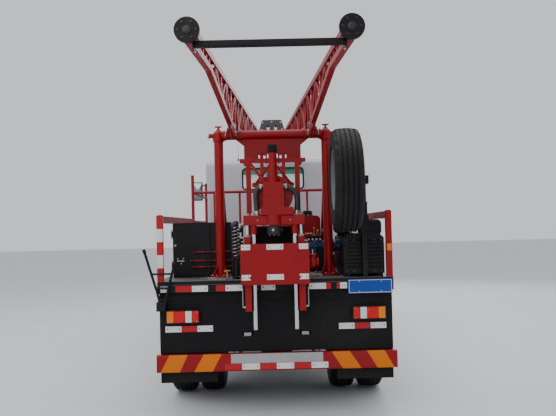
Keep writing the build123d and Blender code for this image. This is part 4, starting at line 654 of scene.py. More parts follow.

# %% [markdown]
# ## Wheel nuts, hub covers and hand holes
# Ten nuts hold each wheel. They sit on the flat ring of the hub in front and deep in the dish at the rear,
# where the twin wheels meet. A turned grease cap closes the front hub. The hand holes are pressed through the
# disc with a rolled lip, and a near-black plate sunk in each opening is painted shade for the wheel's shaded
# inside.

# %% Nuts and covers
# Near-black matte: painted shade in the hand holes and the cabinet's air slots, and the exhaust stack's own
# black.
painted_shade_and_stack_black = finish("dark inside", (0.006, 0.006, 0.006), (0.012, 0.011, 0.011), (0.8, 0.95), dust=0.1)


def add_hand_holes(lips, holes, middle, sign, radius, x):
    """Eight oval hand-hole openings round a disc: a raised lip, and a near-black plate sunk in each as
    painted shade.
    """
    for angle in even_angles(8, pi / 8):
        out = Vector((0, cos(angle), sin(angle)))
        around = Vector((0, -sin(angle), cos(angle)))
        base = Vector((x, middle[1], middle[2])) + out * radius
        oval = [(cos(t) * 0.036, sin(t) * 0.024) for t in even_angles(20)]
        loops = []
        for scale, rise in ((1.12, 0), (1.1, 0.004), (1, 0.004), (0.97, -0.002)):
            loops.append([base + around * a * scale + out * b * scale + Vector((sign * rise, 0, 0))
                for a, b in oval])
        add_shell(lips, loops, cap=False)
        # near-black plate just inside the opening: painted shade
        add_plate(holes, [base + around * a + out * b - Vector((sign * 0.0025, 0, 0)) for a, b in oval],
            (sign, 0, 0), 0.003)


for side, sign in (("left", -1), ("right", 1)):
    front = node_middle(f"front_rim_{side}")
    hub_face = (sign * 1.055, front.y, front.z)
    nuts, cap_mesh, lips, holes = new_meshes(4)
    add_bolt_ring(nuts, hub_face, (sign, 0, 0), 0.082, 10, 0.013, 0.018)
    place(f"front_nuts_{side}", nuts, zinc, f"front_wheel_{side}")
    add_turned(cap_mesh, hub_face, (sign, 0, 0), [(0, 0.06), (0.004, 0.06), (0.006, 0.056), (0.026, 0.054),
        (0.032, 0.048)], 32)
    place(f"hub_cap_{side}", cap_mesh, rim_paint, f"front_wheel_{side}")
    add_hand_holes(lips, holes, front, sign, 0.19, sign * 1.0275)
    place(f"front_lips_{side}", lips, rim_paint, f"front_wheel_{side}")
    place(f"front_holes_{side}", holes, painted_shade_and_stack_black, f"front_wheel_{side}")
    nuts, lips, holes = new_meshes(3)
    dish, hub = (sign * 0.903, rear_axle_y, tyre_radius), (sign * 1.009, rear_axle_y, tyre_radius)
    add_bolt_ring(nuts, dish, (sign, 0, 0), 0.142, 10, 0.016, 0.024)
    add_bolt_ring(nuts, hub, (sign, 0, 0), 0.09, 8, 0.009)
    add_turned(nuts, hub, (sign, 0, 0), [(0, 0.062), (0.01, 0.06), (0.014, 0.05)], 32)
    place(f"rear_nuts_{side}", nuts, zinc, f"rear_wheels_{side}")
    add_hand_holes(lips, holes, (0, rear_axle_y, tyre_radius), sign, 0.215, sign * 0.9205)
    place(f"rear_lips_{side}", lips, rim_paint, f"rear_wheels_{side}")
    place(f"rear_holes_{side}", holes, painted_shade_and_stack_black, f"rear_wheels_{side}")

# %% [markdown]
# ## The rear bumper's bands and markers
# Orange bands slope outwards and down on both ends of the red bumper, a warning pattern that other drivers
# read at a distance. They are stickers, so they follow the folded edge of the beam. A bare plate fills the
# middle and a red and white strip runs under it. Small rivets hold each length of tape.

# %% Bumper bands
bumper_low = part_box("rear_bumper")[0]
BUMPER_TOP, BUMPER_BOTTOM, BUMPER_FACE, BUMPER_FOLD = 0.587, bumper_low.z, bumper_low.y, 0.014


def bumper_skin(lift):
    """Upright outline of the bumper's rear face with its rounded edges, as (y, z)."""
    line = []
    for k in range(7):
        turn = radians(90 * k / 6)
        reach = BUMPER_FOLD + lift
        line.append((BUMPER_FACE + BUMPER_FOLD - sin(turn) * reach, BUMPER_BOTTOM + BUMPER_FOLD - cos(turn)
            * reach))
    line += [(y, BUMPER_TOP + BUMPER_BOTTOM - z) for y, z in reversed(line)]
    return line


def add_bumper_band(mesh, top_span, bottom_span, lift=0.0009):
    """Sloping sticker over the height of the bumper."""
    under, over = bumper_skin(0), bumper_skin(lift)
    loops = []
    for x_top, x_bottom in zip(top_span, bottom_span):
        slope = [x_bottom + (x_top - x_bottom) * (z - BUMPER_BOTTOM) / (BUMPER_TOP - BUMPER_BOTTOM)
            for y, z in over]
        loops.append([(x, y, z) for x, (y, z) in zip(slope, over)] + [(x, y, z) for x,
            (y, z) in zip(reversed(slope), reversed(under))])
    add_shell(mesh, loops)


bands = bmesh.new()
for top_span, bottom_span in (((-1.072, -0.89), (-1.165, -0.97)), ((-0.73, -0.552), (-0.829, -0.645)),
        ((0.546, 0.725), (0.656, 0.84)), ((0.896, 1.074), (1.002, 1.168))):
    add_bumper_band(bands, top_span, bottom_span)
place("bumper_bands", bands, orange_paint)

plate = bmesh.new()
rear_plate(plate, (-0.459, 0.458), (0.4935, 0.586), BUMPER_FACE, 0.0016)
place("bumper_plate", plate, plate_grey, bevel=0.0005)


def tape_row(name, breaks, z_span, y, first_red=False, thickness=0.0012, gap=0.0015):
    """Strip of reflective tape in red and white lengths between the breaks, with a rivet at each end."""
    red, white, pins = new_meshes(3)
    is_red = first_red
    for left, right in zip(breaks, breaks[1:]):
        rear_plate(red if is_red else white, (left + gap, right - gap), z_span, y, thickness)
        for x in (left + 0.022, right - 0.022):
            add_turned(pins, (x, y - thickness, sum(z_span) / 2), BACK, [(0, 0.0065), (0.0012, 0.006),
                (0.0022, 0.0035)], 10)
        is_red = not is_red
    for part, mesh, material in (("red", red, red_tape), ("white", white, white_tape),
            ("pins", pins, grey_paint)):
        if mesh.faces:
            place(f"{name}_{part}", mesh, material)
        else:
            mesh.free()


tape_row("bumper_tape", (-0.523, -0.352, -0.173, -0.006, 0.168, 0.339, 0.509), (0.43, 0.49), BUMPER_FACE,
    first_red=True)
print("bumper dressed")

# %% [markdown]
# ## Tail lamps
# Each lamp is one long moulding with four fields side by side: amber for turning, red for tail and brake, and
# clear for reversing. Fine vertical ribs in the lens spread the light. A black frame holds the lens, with a
# screw at each corner.

# %% Lenses in the tail lamps
lamp_low, lamp_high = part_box("tail_lamps")
LAMP_FACE, LAMP_LENGTH = lamp_low.y, 0.336
lamp_bottom, lamp_top = lamp_low.z + 0.0095, lamp_high.z - 0.0095


def add_ribbed_lens(mesh, x_span, z_span, y, depth=0.007, ribs=10):
    """Lens field with upright ribs and sloped edges."""
    count = 4 * ribs
    front, back = [], []
    for i in range(count + 1):
        x = x_span[0] + (x_span[1] - x_span[0]) * i / count
        edge = min(1, 6 * min(i, count - i) / count)
        front.append((x, y - depth * edge - 0.0012 * sin(i * pi / 2) ** 2))
        back.append((x, y + 0.002))
    outline = front + list(reversed(back))
    inset = 0.004
    middle_z = sum(z_span) / 2
    half = (z_span[1] - z_span[0]) / 2
    loops = [[(x, y + (depth * 0.8 if y < LAMP_FACE else 0), middle_z - half) for x, y in outline],
        [(x, y, middle_z - half + inset) for x, y in outline], [(x, y, middle_z + half - inset)
        for x, y in outline], [(x, y + (depth * 0.8 if y < LAMP_FACE else 0), middle_z + half)
        for x, y in outline]]
    add_shell(mesh, loops)


lens_fields = {red_lens: bmesh.new(), amber_lens: bmesh.new(), clear_lens: bmesh.new()}
frames, screws = new_meshes(2)
for sign in (-1, 1):
    outer, inner = lamp_high.x - 0.008, lamp_high.x - LAMP_LENGTH + 0.008
    steps = (0, 0.226, 0.577, 0.79, 1)
    for (start, end), material in zip(zip(steps, steps[1:]), (amber_lens, red_lens, clear_lens, red_lens)):
        reach = [outer + (inner - outer) * share for share in (start, end)]
        x_span = sorted(sign * x for x in reach)
        add_ribbed_lens(lens_fields[material], (x_span[0] + 0.0015, x_span[1] - 0.0015),
            (lamp_bottom, lamp_top), LAMP_FACE, ribs=max(4, round((x_span[1] - x_span[0]) / 0.012)))
    for z_span in ((lamp_bottom - 0.0075, lamp_bottom - 0.001), (lamp_top + 0.001, lamp_top + 0.0075)):
        rear_plate(frames, sorted((sign * (outer - 0.012), sign * (inner + 0.012))), z_span, LAMP_FACE, 0.006)
    for x in (outer - 0.02, inner + 0.02):
        for z in (lamp_bottom + 0.012, lamp_top - 0.012):
            add_turned(screws, (sign * x, LAMP_FACE - 0.006, z), BACK, [(0, 0.005), (0.002, 0.0045)], 12)
for material, mesh in lens_fields.items():
    place("lens_" + material.name.split()[0], mesh, material, fold=50)
place("lamp_frames", frames, black_plastic, bevel=0.001)
place("lamp_screws", screws, zinc)
print("tail lamps dressed")

# %% [markdown]
# ## Reflective strips, sill and blank plates
# The lorry needs its outline marked at night, so tape runs along the sill under the deck edge and across
# the black panel. The blue plate on the right is the registration plate, left blank here, with its pale
# border and four screws. A folded sill covers the ends of the cross bearers.

# %% Sill, strips and the blue plate
deck_edge = ahead(0)
sill = bmesh.new()
add_block(sill, (-1.176, deck_edge + 0.002, 1.205), (1.176, deck_edge + 0.006, 1.279))
add_block(sill, (-1.176, deck_edge + 0.006, 1.205), (1.176, deck_edge + 0.052, 1.209))
place("deck_sill", sill, black_paint, bevel=0.001)
rim = bmesh.new()
add_block(rim, (-1.172, deck_edge - 0.0025, 1.284), (1.172, deck_edge, 1.317))
place("deck_edge_strip", rim, black_paint, bevel=0.0008)

SILL_FACE = deck_edge + 0.002
for name, breaks, red_first in (("sill_a", (-1.15, -1.07), False), ("sill_b", (-1.00, -0.835, -0.673), True),
        ("sill_c", (-0.595, -0.5, -0.33), True), ("sill_e", (0.335, 0.506, 0.555), False),
        ("sill_f", (0.61, 0.644, 0.716), True)):
    tape_row(f"tape_{name}", breaks, (1.213, 1.273), SILL_FACE, first_red=red_first)
PANEL_FACE = ahead(0.056)
tape_row("tape_low_left", (-1.115, -0.951, -0.795, -0.636), (0.808, 0.868), PANEL_FACE)
tape_row("tape_low_right", (0.627, 0.786, 0.945, 1.105), (0.802, 0.862), PANEL_FACE)
tape_row("tape_middle", (-0.145, 0), (1.213, 1.273), SILL_FACE)

COVER_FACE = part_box("cover_plate")[0].y
for level, z_span in (("top", (1.622, 1.675)), ("bottom", (1.33, 1.383))):
    for k, x_span in enumerate(((-0.327, -0.235), (-0.081, 0.085), (0.235, 0.327))):
        tape_row(f"cover_tape_{level}_{k}", x_span, z_span, COVER_FACE)

blue, border, screws = new_meshes(3)
plate_x, plate_z = (0.726, 1.166), (1.16, 1.3)
rear_plate(blue, plate_x, plate_z, ahead(-0.0035), 0.0018)
for x_span, z_span in (((plate_x[0] + 0.006, plate_x[1] - 0.006), (plate_z[0] + 0.006, plate_z[0] + 0.011)),
        ((plate_x[0] + 0.006, plate_x[1] - 0.006), (plate_z[1] - 0.011, plate_z[1] - 0.006)),
        ((plate_x[0] + 0.006, plate_x[0] + 0.011), (plate_z[0] + 0.011, plate_z[1] - 0.011)),
        ((plate_x[1] - 0.011, plate_x[1] - 0.006), (plate_z[0] + 0.011, plate_z[1] - 0.011))):
    rear_plate(border, x_span, z_span, ahead(-0.0053), 0.0006)
for x in (plate_x[0] + 0.11, plate_x[1] - 0.11):
    for z in (plate_z[0] + 0.02, plate_z[1] - 0.02):
        add_bolt(screws, (x, ahead(-0.0053), z), BACK, 0.006, 0.003)
backing = bmesh.new()
add_block(backing, (plate_x[0] + 0.02, ahead(-0.0035), plate_z[0] + 0.012), (plate_x[1] - 0.02, ahead(0.002),
    plate_z[1] - 0.02))
place("blue_plate", blue, plate_blue, bevel=0.0004)
place("blue_plate_border", border, white_paint)
place("blue_plate_screws", screws, zinc)
place("blue_plate_bracket", backing, black_paint)
print("strips and plates on")

# %% [markdown]
# ## Portal fittings
# Each column ends in a dome with a T-shaped eye bolt, and a pin with a keeper goes through its head. At the
# foot, gussets stand round the flange and eight bolts hold it to the deck. The crossbeam carries the mast's
# hinge ears, whose pins are kept by bolted plates.

# %% Column heads, feet and hinge pins
COLUMN_X, COLUMN_AHEAD, BEAM_Z, COLUMN_RADIUS = 0.568, ahead(0.42), 2.82, 0.049
eyes, pins, feet, foot_bolts = new_meshes(4)
for sign in (-1, 1):
    x = sign * COLUMN_X
    dome_top = BEAM_Z + COLUMN_RADIUS + 0.009
    add_bar(eyes, (x, COLUMN_AHEAD, dome_top - 0.01), (x, COLUMN_AHEAD, dome_top + 0.036), 0.011)
    add_bar(eyes, (x - 0.036, COLUMN_AHEAD, dome_top + 0.036), (x + 0.036, COLUMN_AHEAD, dome_top + 0.036),
        0.009)
    add_turned(eyes, (x, COLUMN_AHEAD, dome_top - 0.004), UP, [(0, 0.024), (0.01, 0.022), (0.012, 0.016)])
    pin_end = (sign * 0.67, COLUMN_AHEAD, BEAM_Z)
    add_turned(pins, pin_end, (sign, 0, 0), [(-0.004, 0.03), (0.006, 0.03), (0.009, 0.026)])
    add_bolt_ring(pins, (sign * 0.679, COLUMN_AHEAD, BEAM_Z), (sign, 0, 0), 0.014, 3, 0.0045, 0.003)
    flange_top = deck_top + 0.024
    for turn in even_angles(4, pi / 4):
        out = Vector((cos(turn), sin(turn), 0))
        across = Vector((-out.y, out.x, 0)) * 0.004
        base = Vector((x, COLUMN_AHEAD, flange_top))
        corners = [base + out * 0.046, base + out * 0.104, base + out * 0.104 + Vector((0, 0, 0.014)),
            base + out * 0.052 + Vector((0, 0, 0.11)), base + out * 0.046 + Vector((0, 0, 0.11))]
        add_shell(feet, [[c - across for c in corners], [c + across for c in corners]])
    add_bolt_ring(foot_bolts, (x, COLUMN_AHEAD, flange_top), UP, 0.098, 8, 0.01, 0.009, turn=0.39)
place("column_eye_bolts", eyes, red_paint)
place("column_pins", pins, zinc)
place("column_gussets", feet, red_paint, bevel=0.001)
place("column_foot_bolts", foot_bolts, zinc)

keepers, keeper_bolts = new_meshes(2)
HINGE_Y, LEG_X = ahead(0.28), 0.43
for sign in (-1, 1):
    for face in (-1, 1):
        x = sign * LEG_X + face * 0.048
        add_turned(keepers, (x, HINGE_Y, BEAM_Z), (face, 0, 0), [(0, 0.033), (0.005, 0.033), (0.007, 0.03)])
        for z in (-0.019, 0.019):
            add_bolt(keeper_bolts, (x + face * 0.006, HINGE_Y, BEAM_Z + z), (face, 0, 0), 0.007, 0.005)
place("hinge_keepers", keepers, bare_steel)
place("hinge_keeper_bolts", keeper_bolts, zinc)
print("portal dressed")

# %% Beam collars, gusset frames and the stay feet
collars, weld = new_meshes(2)
for x in (-0.5, -0.33, 0.33, 0.5):
    add_turned(collars, (x - 0.012, COLUMN_AHEAD, BEAM_Z), RIGHT, [(0, 0.0485), (0, 0.054), (0.002, 0.056),
        (0.022, 0.056), (0.024, 0.054), (0.024, 0.0485)], 32)
for x in (-0.096, 0.096):
    for a, b in (((-0.056, -0.027), (0.056, -0.027)), ((0.056, -0.027), (0.056, 0.027)),
            ((0.056, 0.027), (-0.056, 0.027)), ((-0.056, 0.027), (-0.056, -0.027))):
        add_bar(weld, (x + a[0], COLUMN_AHEAD - 0.007, 2.59 + a[1]), (x + b[0], COLUMN_AHEAD - 0.007,
            2.59 + b[1]), 0.0035, 8)
for sign in (-1, 1):
    for k in (-1, 1):
        for j in (-1, 1):
            add_bolt(weld, (sign * COLUMN_X + k * 0.042, ahead(1.5) + j * 0.06, deck_top + 0.024), UP, 0.009)
place("beam_collars", collars, red_paint)
place("gusset_frames", weld, red_paint)
print("collars and gusset frames on")

# %% [markdown]
# ## Striped corner posts and the thin racks
# The posts at the deck's corners wear bands of red and white reflective tape. Between the left post and the
# feed three thin bars keep long tools from rolling off, and the short auger stands in its own socket with a
# plastic cap on its thread. Its flight is one helix, which the model shows as separate discs.

# %% Corner posts, racks and auger
POST_X, POST_Y = 1.147, ahead(0.034)
post_red, post_white, post_marker = new_meshes(3)
x, y, half = -POST_X, POST_Y, 0.0318
steps = [deck_top + 0.004 + 0.131 * k for k in range(6)]
steps[-1] = 1.977
for k, (low, high) in enumerate(zip(steps, steps[1:])):
    mesh = post_red if k % 2 == 0 else post_white
    loop = []
    for corner_x, corner_y, start in ((half, -half, 270), (half, half, 0), (-half, half, 90),
            (-half, -half, 180)):
        for t in range(4):
            angle = radians(start + 30 * t)
            loop.append((x + corner_x - copysign(0.008, corner_x) + 0.0085 * cos(angle),
                y + corner_y - copysign(0.008, corner_y) + 0.0085 * sin(angle)))
    add_shell(mesh, [[(px, py, z) for px, py in loop] for z in (low + 0.0008, high - 0.0008)])
rear_plate(post_marker, (1.124, 1.17), (1.58, 1.65), ahead(0.003), 0.004)
place("post_marker", post_marker, amber_lens, bevel=0.001)
place("post_bands_red", post_red, red_tape)
place("post_bands_white", post_white, white_tape)
post_caps = bmesh.new()
for sign in (-1, 1):
    add_turned(post_caps, (sign * POST_X, POST_Y, 1.976), UP, [(0, 0.03), (0.006, 0.03), (0.01, 0.022),
        (0.011, 0.01)])
place("post_caps", post_caps, black_plastic)

DOOR_EDGE = -0.7
for body, spans in (("cabinet_door", ((-0.86, DOOR_EDGE - 0.006), (-0.9, DOOR_EDGE - 0.006),
        (-0.885, DOOR_EDGE - 0.006))), ("root", ((DOOR_EDGE + 0.006, -0.44),) * 3)):
    bars, clips = new_meshes(2)
    for z, (left, right) in zip((1.592, 1.5, 1.434), spans):
        add_bar(bars, (left, ahead(0.492), z), (right, ahead(0.492), z), 0.008, 12)
        for x in (left + 0.02, right - 0.03):
            add_block(clips, (x - 0.009, ahead(0.48), z - 0.013),
                (x + 0.009, ahead(0.54 if x > DOOR_EDGE else 0.522), z + 0.013))
    place(f"rack_bars_{body}", bars, red_paint, body)
    place(f"rack_clips_{body}", clips, black_paint, body, bevel=0.0008)

auger_middle = node_middle("auger")
auger = bmesh.new()
TURNS, STEPS, FLIGHT_LOW, FLIGHT_HIGH = 9, 20, deck_top + 0.215, deck_top + 0.535
loops = []
for i in range(int(TURNS * STEPS) + 1):
    angle = 2 * pi * i / STEPS
    z = FLIGHT_LOW + (FLIGHT_HIGH - FLIGHT_LOW) * i / (TURNS * STEPS)
    reach = min(1, 0.45 + i / STEPS * 0.55, 0.45 + (TURNS * STEPS - i) / STEPS * 0.55)
    out = Vector((cos(angle), sin(angle), 0))
    core, tip = auger_middle + out * 0.013, auger_middle + out * 0.04 * reach
    loops.append([(core.x, core.y, z - 0.01), (tip.x, tip.y, z - 0.004), (tip.x, tip.y, z + 0.004),
        (core.x, core.y, z + 0.006)])
add_shell(auger, loops)
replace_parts(place("auger_flight", auger, bare_steel, fold=40), "auger")
auger_stem = bmesh.new()
add_turned(auger_stem, (auger_middle.x, auger_middle.y, deck_top), UP, [(0, 0.036), (0.022, 0.036),
    (0.026, 0.02), (0.045, 0.018), (0.05, 0.014), (0.545, 0.014), (0.548, 0.019), (0.56, 0.019)])
place("auger_stem", auger_stem, black_paint, fold=40)
cap = bmesh.new()
add_turned(cap, (auger_middle.x, auger_middle.y, deck_top + 0.556), UP, [(-0.006, 0.027), (0, 0.031),
    (0.026, 0.031), (0.032, 0.027), (0.034, 0.015)])
add_bolt_ring(cap, (auger_middle.x, auger_middle.y, deck_top + 0.59), UP, 0.012, 3, 0.004, 0.002)
place("auger_cap", cap, cap_purple)
print("posts and auger dressed")

# %% [markdown]
# ## Drill feed
# The feed is hydraulic: two red barrels push chromed rods, and two guide rods keep the head square. Rings of
# bolts close every flange of the rotary head, hose ends are swaged with steel sleeves, and a grease nipple
# sits wherever something turns. Everything that travels with the head rides on the feed carriage.

# %% Rotary head and crosshead
DRILL_Y, HEAD_LOW, HEAD_TOP = ahead(-0.12), 1.96, 2.28
head_bolts, brass, collar = new_meshes(3)
for x in (-0.112, -0.06, 0, 0.06, 0.118, 0.172):
    for y in (-0.056, 0.036):
        add_bolt(head_bolts, (x, DRILL_Y + y, 2.0315 if abs(x) > 0.104 else 2.036), UP, 0.008, 0.007)
add_bolt_ring(head_bolts, (0, ahead(-0.002), 2.16), FORWARD, 0.176, 14, 0.009, 0.003)
add_bolt_ring(head_bolts, (0, DRILL_Y, 2.32), UP, 0.051, 6, 0.006, 0.005)
for z in (2.09, 2.15, 2.21):
    for x in (-0.07, 0.07):
        add_bolt(head_bolts, (x, DRILL_Y - 0.07, z), BACK, 0.0085, 0.007)
SWIVEL_TOP = 2.65
swivel_cap = bmesh.new()
add_turned(swivel_cap, (0, DRILL_Y, SWIVEL_TOP - 0.078), UP, [(0, 0.043), (0.004, 0.05), (0.072, 0.05),
    (0.08, 0.045), (0.082, 0.03)], 32)
place("swivel_cap", swivel_cap, black_rubber, "feed_carriage")
braces = bmesh.new()
for sign in (-1, 1):
    add_bar(braces, (sign * 0.034, DRILL_Y + 0.03, 2.45), (sign * 0.185, DRILL_Y + 0.085, 2.262), 0.013, 12)
    add_turned(braces, (sign * 0.185, DRILL_Y + 0.085, 2.262), BACK, [(-0.005, 0.026), (0.012, 0.026)], 20)
place("head_braces", braces, red_paint, "feed_carriage")
for sign in (-1, 1):
    add_turned(collar, (sign * 0.098, DRILL_Y, HEAD_TOP - 0.042), (sign, 0, 0), [(0, 0.026), (0.016, 0.026),
        (0.018, 0.03), (0.034, 0.03), (0.038, 0.0275)])
    hose_foot = 0.165 if sign < 0 else 0.226
    add_turned(collar, (sign * hose_foot, DRILL_Y, HEAD_LOW), UP, [(0, 0.032), (0.01, 0.032), (0.012, 0.029),
        (0.038, 0.029), (0.042, 0.0272)])
for x in (0, -0.16, 0.16):
    add_turned(brass, (x, DRILL_Y - 0.045, 1.91), BACK, [(0, 0.007), (0.006, 0.007), (0.008, 0.004),
        (0.013, 0.0045)], 10)
place("head_bolts", head_bolts, red_paint, "feed_carriage")
place("head_collars", collar, bare_steel, "feed_carriage")
place("grease_nipples", brass, brass_fitting, "feed_carriage")

rod_nuts = bmesh.new()
for sign in (-1, 1):
    for x, radius in ((0.265, 0.018), (0.202, 0.0225)):
        add_turned(rod_nuts, (sign * x, DRILL_Y, 1.96), UP, [(0, radius * 1.45), (0.004, radius * 1.45)], 20)
        add_turned(rod_nuts, (sign * x, DRILL_Y, 1.964), UP, [(0, radius * 1.25), (0.016, radius * 1.25),
            (0.018, radius)], 6)
place("rod_nuts", rod_nuts, zinc, "feed_carriage")

glands, ports = new_meshes(2)
for sign in (-1, 1):
    add_turned(glands, (sign * 0.265, DRILL_Y, 1.7495), UP, [(0, 0.031), (0.012, 0.031), (0.015, 0.028),
        (0.02, 0.0195)], 32)
    add_turned(glands, (sign * 0.202, DRILL_Y, 1.6598), UP, [(0, 0.035), (0.014, 0.035), (0.018, 0.024)], 32)
    for z in (1.06, 1.7):
        add_turned(ports, (sign * 0.295, DRILL_Y, z), (sign, 0, 0), [(0, 0.012), (0.012, 0.012),
            (0.014, 0.009), (0.03, 0.009)], 12)
    add_pipe(ports, [(sign * 0.316, DRILL_Y, 1.06), (sign * 0.322, DRILL_Y + 0.004, 1.075),
        (sign * 0.322, DRILL_Y + 0.004, 1.25)], 0.006)
place("feed_glands", glands, bare_steel)
place("feed_ports", ports, bare_steel)

cover_bolts, chuck = new_meshes(2)
for sign in (-1, 1):
    for z in (1.352, 1.61):
        add_bolt(cover_bolts, (sign * 0.235, COVER_FACE - 0.0012, z), BACK, 0.011)
    for z in (1.4, 1.5, 1.6):
        add_bolt(cover_bolts, (sign * 0.335, COVER_FACE + 0.03, z), (sign, 0, 0), 0.006, 0.004)
place("cover_bolts", cover_bolts, red_paint)
spindle_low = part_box("spindle")[0].z
add_bolt_ring(chuck, (0, DRILL_Y, spindle_low), (0, 0, -1), 0.05, 6, 0.008, 0.005)
for turn in even_angles(3, 0.4):
    out = Vector((cos(turn), sin(turn), 0))
    add_turned(chuck, Vector((0, DRILL_Y, spindle_low + 0.048)) + out * 0.073, out,
        [(0, 0.014), (0.006, 0.014), (0.008, 0.011)], 16)
place("chuck_screws", chuck, bare_steel, "spindle")
print("feed dressed")

# %% [markdown]
# ## Mast
# The mast lies along the truck with a tilt of one degree, so its fittings are placed by their distance along
# it and above it. The feet are round plates on screwed stems, and the crown carries two rope sheaves between
# bolted side plates. Gusset plates close the joints of the lattice, and the hinge bosses are welded on.

# %% Mast feet, gussets and crown
MAST_TILT, LEG_SPLAY = radians(1), 0.05
FOOT_S, CROWN_S, UPPER_T, SHIN_S, SHIN_T = -2.63, 6.06, 0.475, -1.62, 0.367


def on_mast(x, s, t):
    """Point at x across, s forward from the hinge along the mast and t above its line."""
    return Vector((x, HINGE_Y + s * cos(MAST_TILT) - t * sin(MAST_TILT), BEAM_Z + s * sin(MAST_TILT) + t
        * cos(MAST_TILT)))


def leg_at(s):
    """Distance of a leg from the middle of the truck."""
    return LEG_X - LEG_SPLAY * s


def lower_chord(s):
    """Height of the leg's lower chord above the mast's line."""
    if s < 0:
        return 0.102 + (SHIN_T - 0.102) * s / SHIN_S
    return 0.102 + (0.262 - 0.102) * s / CROWN_S


mast_back = on_mast(0, -1, 0) - on_mast(0, 0, 0)
mast_up = on_mast(0, 0, 1) - on_mast(0, 0, 0)
stems, foot_nuts = new_meshes(2)
for sign in (-1, 1):
    face = on_mast(sign * leg_at(FOOT_S), FOOT_S - 0.032, (SHIN_T + UPPER_T) / 2)
    add_turned(stems, face, mast_back, [(0, 0.03), (0.003, 0.03), (0.005, 0.024)], 32)
    add_turned(stems, face, -mast_back, [(0.03, 0.04), (0.075, 0.032), (0.13, 0.022)], 32)
    add_bolt_ring(foot_nuts, face, mast_back, 0.062, 6, 0.008, 0.0035)
place("foot_stems", stems, dark_steel, "mast")
place("foot_bolts", foot_nuts, dark_steel, "mast")

gussets, gusset_bolts = new_meshes(2)
for sign in (-1, 1):
    for i in range(0, 16):
        s = i * CROWN_S / 15
        for t, rise in ((UPPER_T - 0.024, -1), (lower_chord(s) + 0.024, 1)):
            x = sign * (leg_at(s) + 0.0155)
            loop = [on_mast(x, s - 0.085, t), on_mast(x, s + 0.085, t), on_mast(x, s + 0.045,
                t + rise * 0.06), on_mast(x, s - 0.045, t + rise * 0.06)]
            add_plate(gussets, loop, (sign, 0, 0), 0.004)
place("mast_gussets", gussets, mast_red, "mast")
for sign in (-1, 1):
    for s, t in ((0.09, 0.118), (-0.09, 0.118), (0, 0.098)):
        for face in (-1, 1):
            add_bolt(gusset_bolts, on_mast(sign * LEG_X + face * 0.0145, s, t - 0.05), (face, 0, 0), 0.009,
                0.007)
place("mast_boss_bolts", gusset_bolts, zinc, "mast")

CROWN_LOW = UPPER_T + 0.025
crown_bolts, sheave_caps = new_meshes(2)
for x in (-0.255, -0.205, -0.02, 0.02, 0.205, 0.255):
    for s in (CROWN_S - 0.07, CROWN_S + 0.13):
        add_bolt(crown_bolts, on_mast(x * 1.05, s, CROWN_LOW + 0.0005), mast_up, 0.008, 0.006)
for face in (-1, 1):
    direction = mast_back * face
    for x, t in ((-0.215, 0.09), (0.215, 0.09), (-0.165, 0.35), (0.165, 0.35), (0, 0.36), (-0.19, 0.22),
            (0.19, 0.22)):
        foot = on_mast(x, CROWN_S + 0.03 - face * 0.13, CROWN_LOW + t)
        add_bolt(crown_bolts, foot, direction, 0.011)
for x in (-0.07, 0.07):
    groove_middle = on_mast(x, CROWN_S + 0.03, CROWN_LOW + 0.17)
    loops = []
    for angle in even_angles(40):
        out = mast_back * cos(angle) + mast_up * sin(angle)
        loops.append([groove_middle + out * r + Vector((dx, 0, 0)) for dx, r in ((-0.019, 0.15),
            (-0.019, 0.157), (-0.013, 0.159), (-0.006, 0.151), (0.006, 0.151), (0.013, 0.159), (0.019, 0.157),
            (0.019, 0.15))])
    add_shell(sheave_caps, loops, ring=True)
place("crown_bolts", crown_bolts, zinc, "mast")
place("sheave_rims", sheave_caps, bare_steel, "mast", fold=50)

foot_bar = bmesh.new()
for sign in (-1, 1):
    for t in (0.29, 0.39, 0.46):
        add_bolt(foot_bar, on_mast(sign * (leg_at(FOOT_S + 0.115) - 0.0335), FOOT_S + 0.07, t), (-sign, 0, 0),
            0.01)
place("foot_bar_bolts", foot_bar, zinc, "mast")
print("mast dressed")

# %% [markdown]
# ## Lift cylinder
# The cylinder that raises the mast stands hidden behind the crossbeam. A screwed gland closes its barrel, oil
# ports stick out of it, and lock plates keep both pins. The rod and its eye belong to the sliding rod.

# %% Lift cylinder fittings
LIFT_Y = ahead(0.63)
base = Vector((0, LIFT_Y, 1.57))
eye = on_mast(0, 0.45, -0.25)
push = (eye - base).normalized()
reach = (eye - base).length
gland, ports, locks, pads = new_meshes(4)
add_turned(gland, base + push * (reach - 0.112), push, [(0, 0.0635), (0.014, 0.0635), (0.018, 0.058),
    (0.022, 0.034)], 32)
for distance in (0.1, reach - 0.16):
    side_out = side_axes(push)[2]
    if side_out.y > 0:
        side_out = -side_out
    add_turned(ports, base + push * distance + side_out * 0.053, side_out, [(0, 0.015), (0.012, 0.015),
        (0.014, 0.01), (0.03, 0.01)], 16)
add_pipe(ports, [base + push * 0.1 + side_out * 0.078, base + push * 0.1 + side_out * 0.086,
    base + push * 0.13 + side_out * 0.09, base + push * (reach - 0.19) + side_out * 0.09,
    base + push * (reach - 0.16) + side_out * 0.086, base + push * (reach - 0.16) + side_out * 0.078], 0.007)
place("lift_gland", gland, bare_steel, "lift_barrel")
place("lift_ports", ports, bare_steel, "lift_barrel")
for face in (-1, 1):
    add_plate(locks, [(face * 0.064, LIFT_Y + y, 1.57 + z) for y, z in ((-0.03, -0.012), (0.03, -0.012),
        (0.03, 0.012), (-0.03, 0.012))], (face, 0, 0), 0.004)
    for y in (-0.02, 0.02):
        add_bolt(locks, (face * 0.068, LIFT_Y + y, 1.57), (face, 0, 0), 0.006, 0.004)
for x in (-0.09, 0.09):
    for y in (-0.14, 0.14):
        add_bolt(pads, (x, LIFT_Y + y, deck_top + 0.016), UP, 0.012, 0.01)
place("lift_pin_locks", locks, zinc)
place("lift_foot_bolts", pads, zinc)
yoke_bolts = bmesh.new()
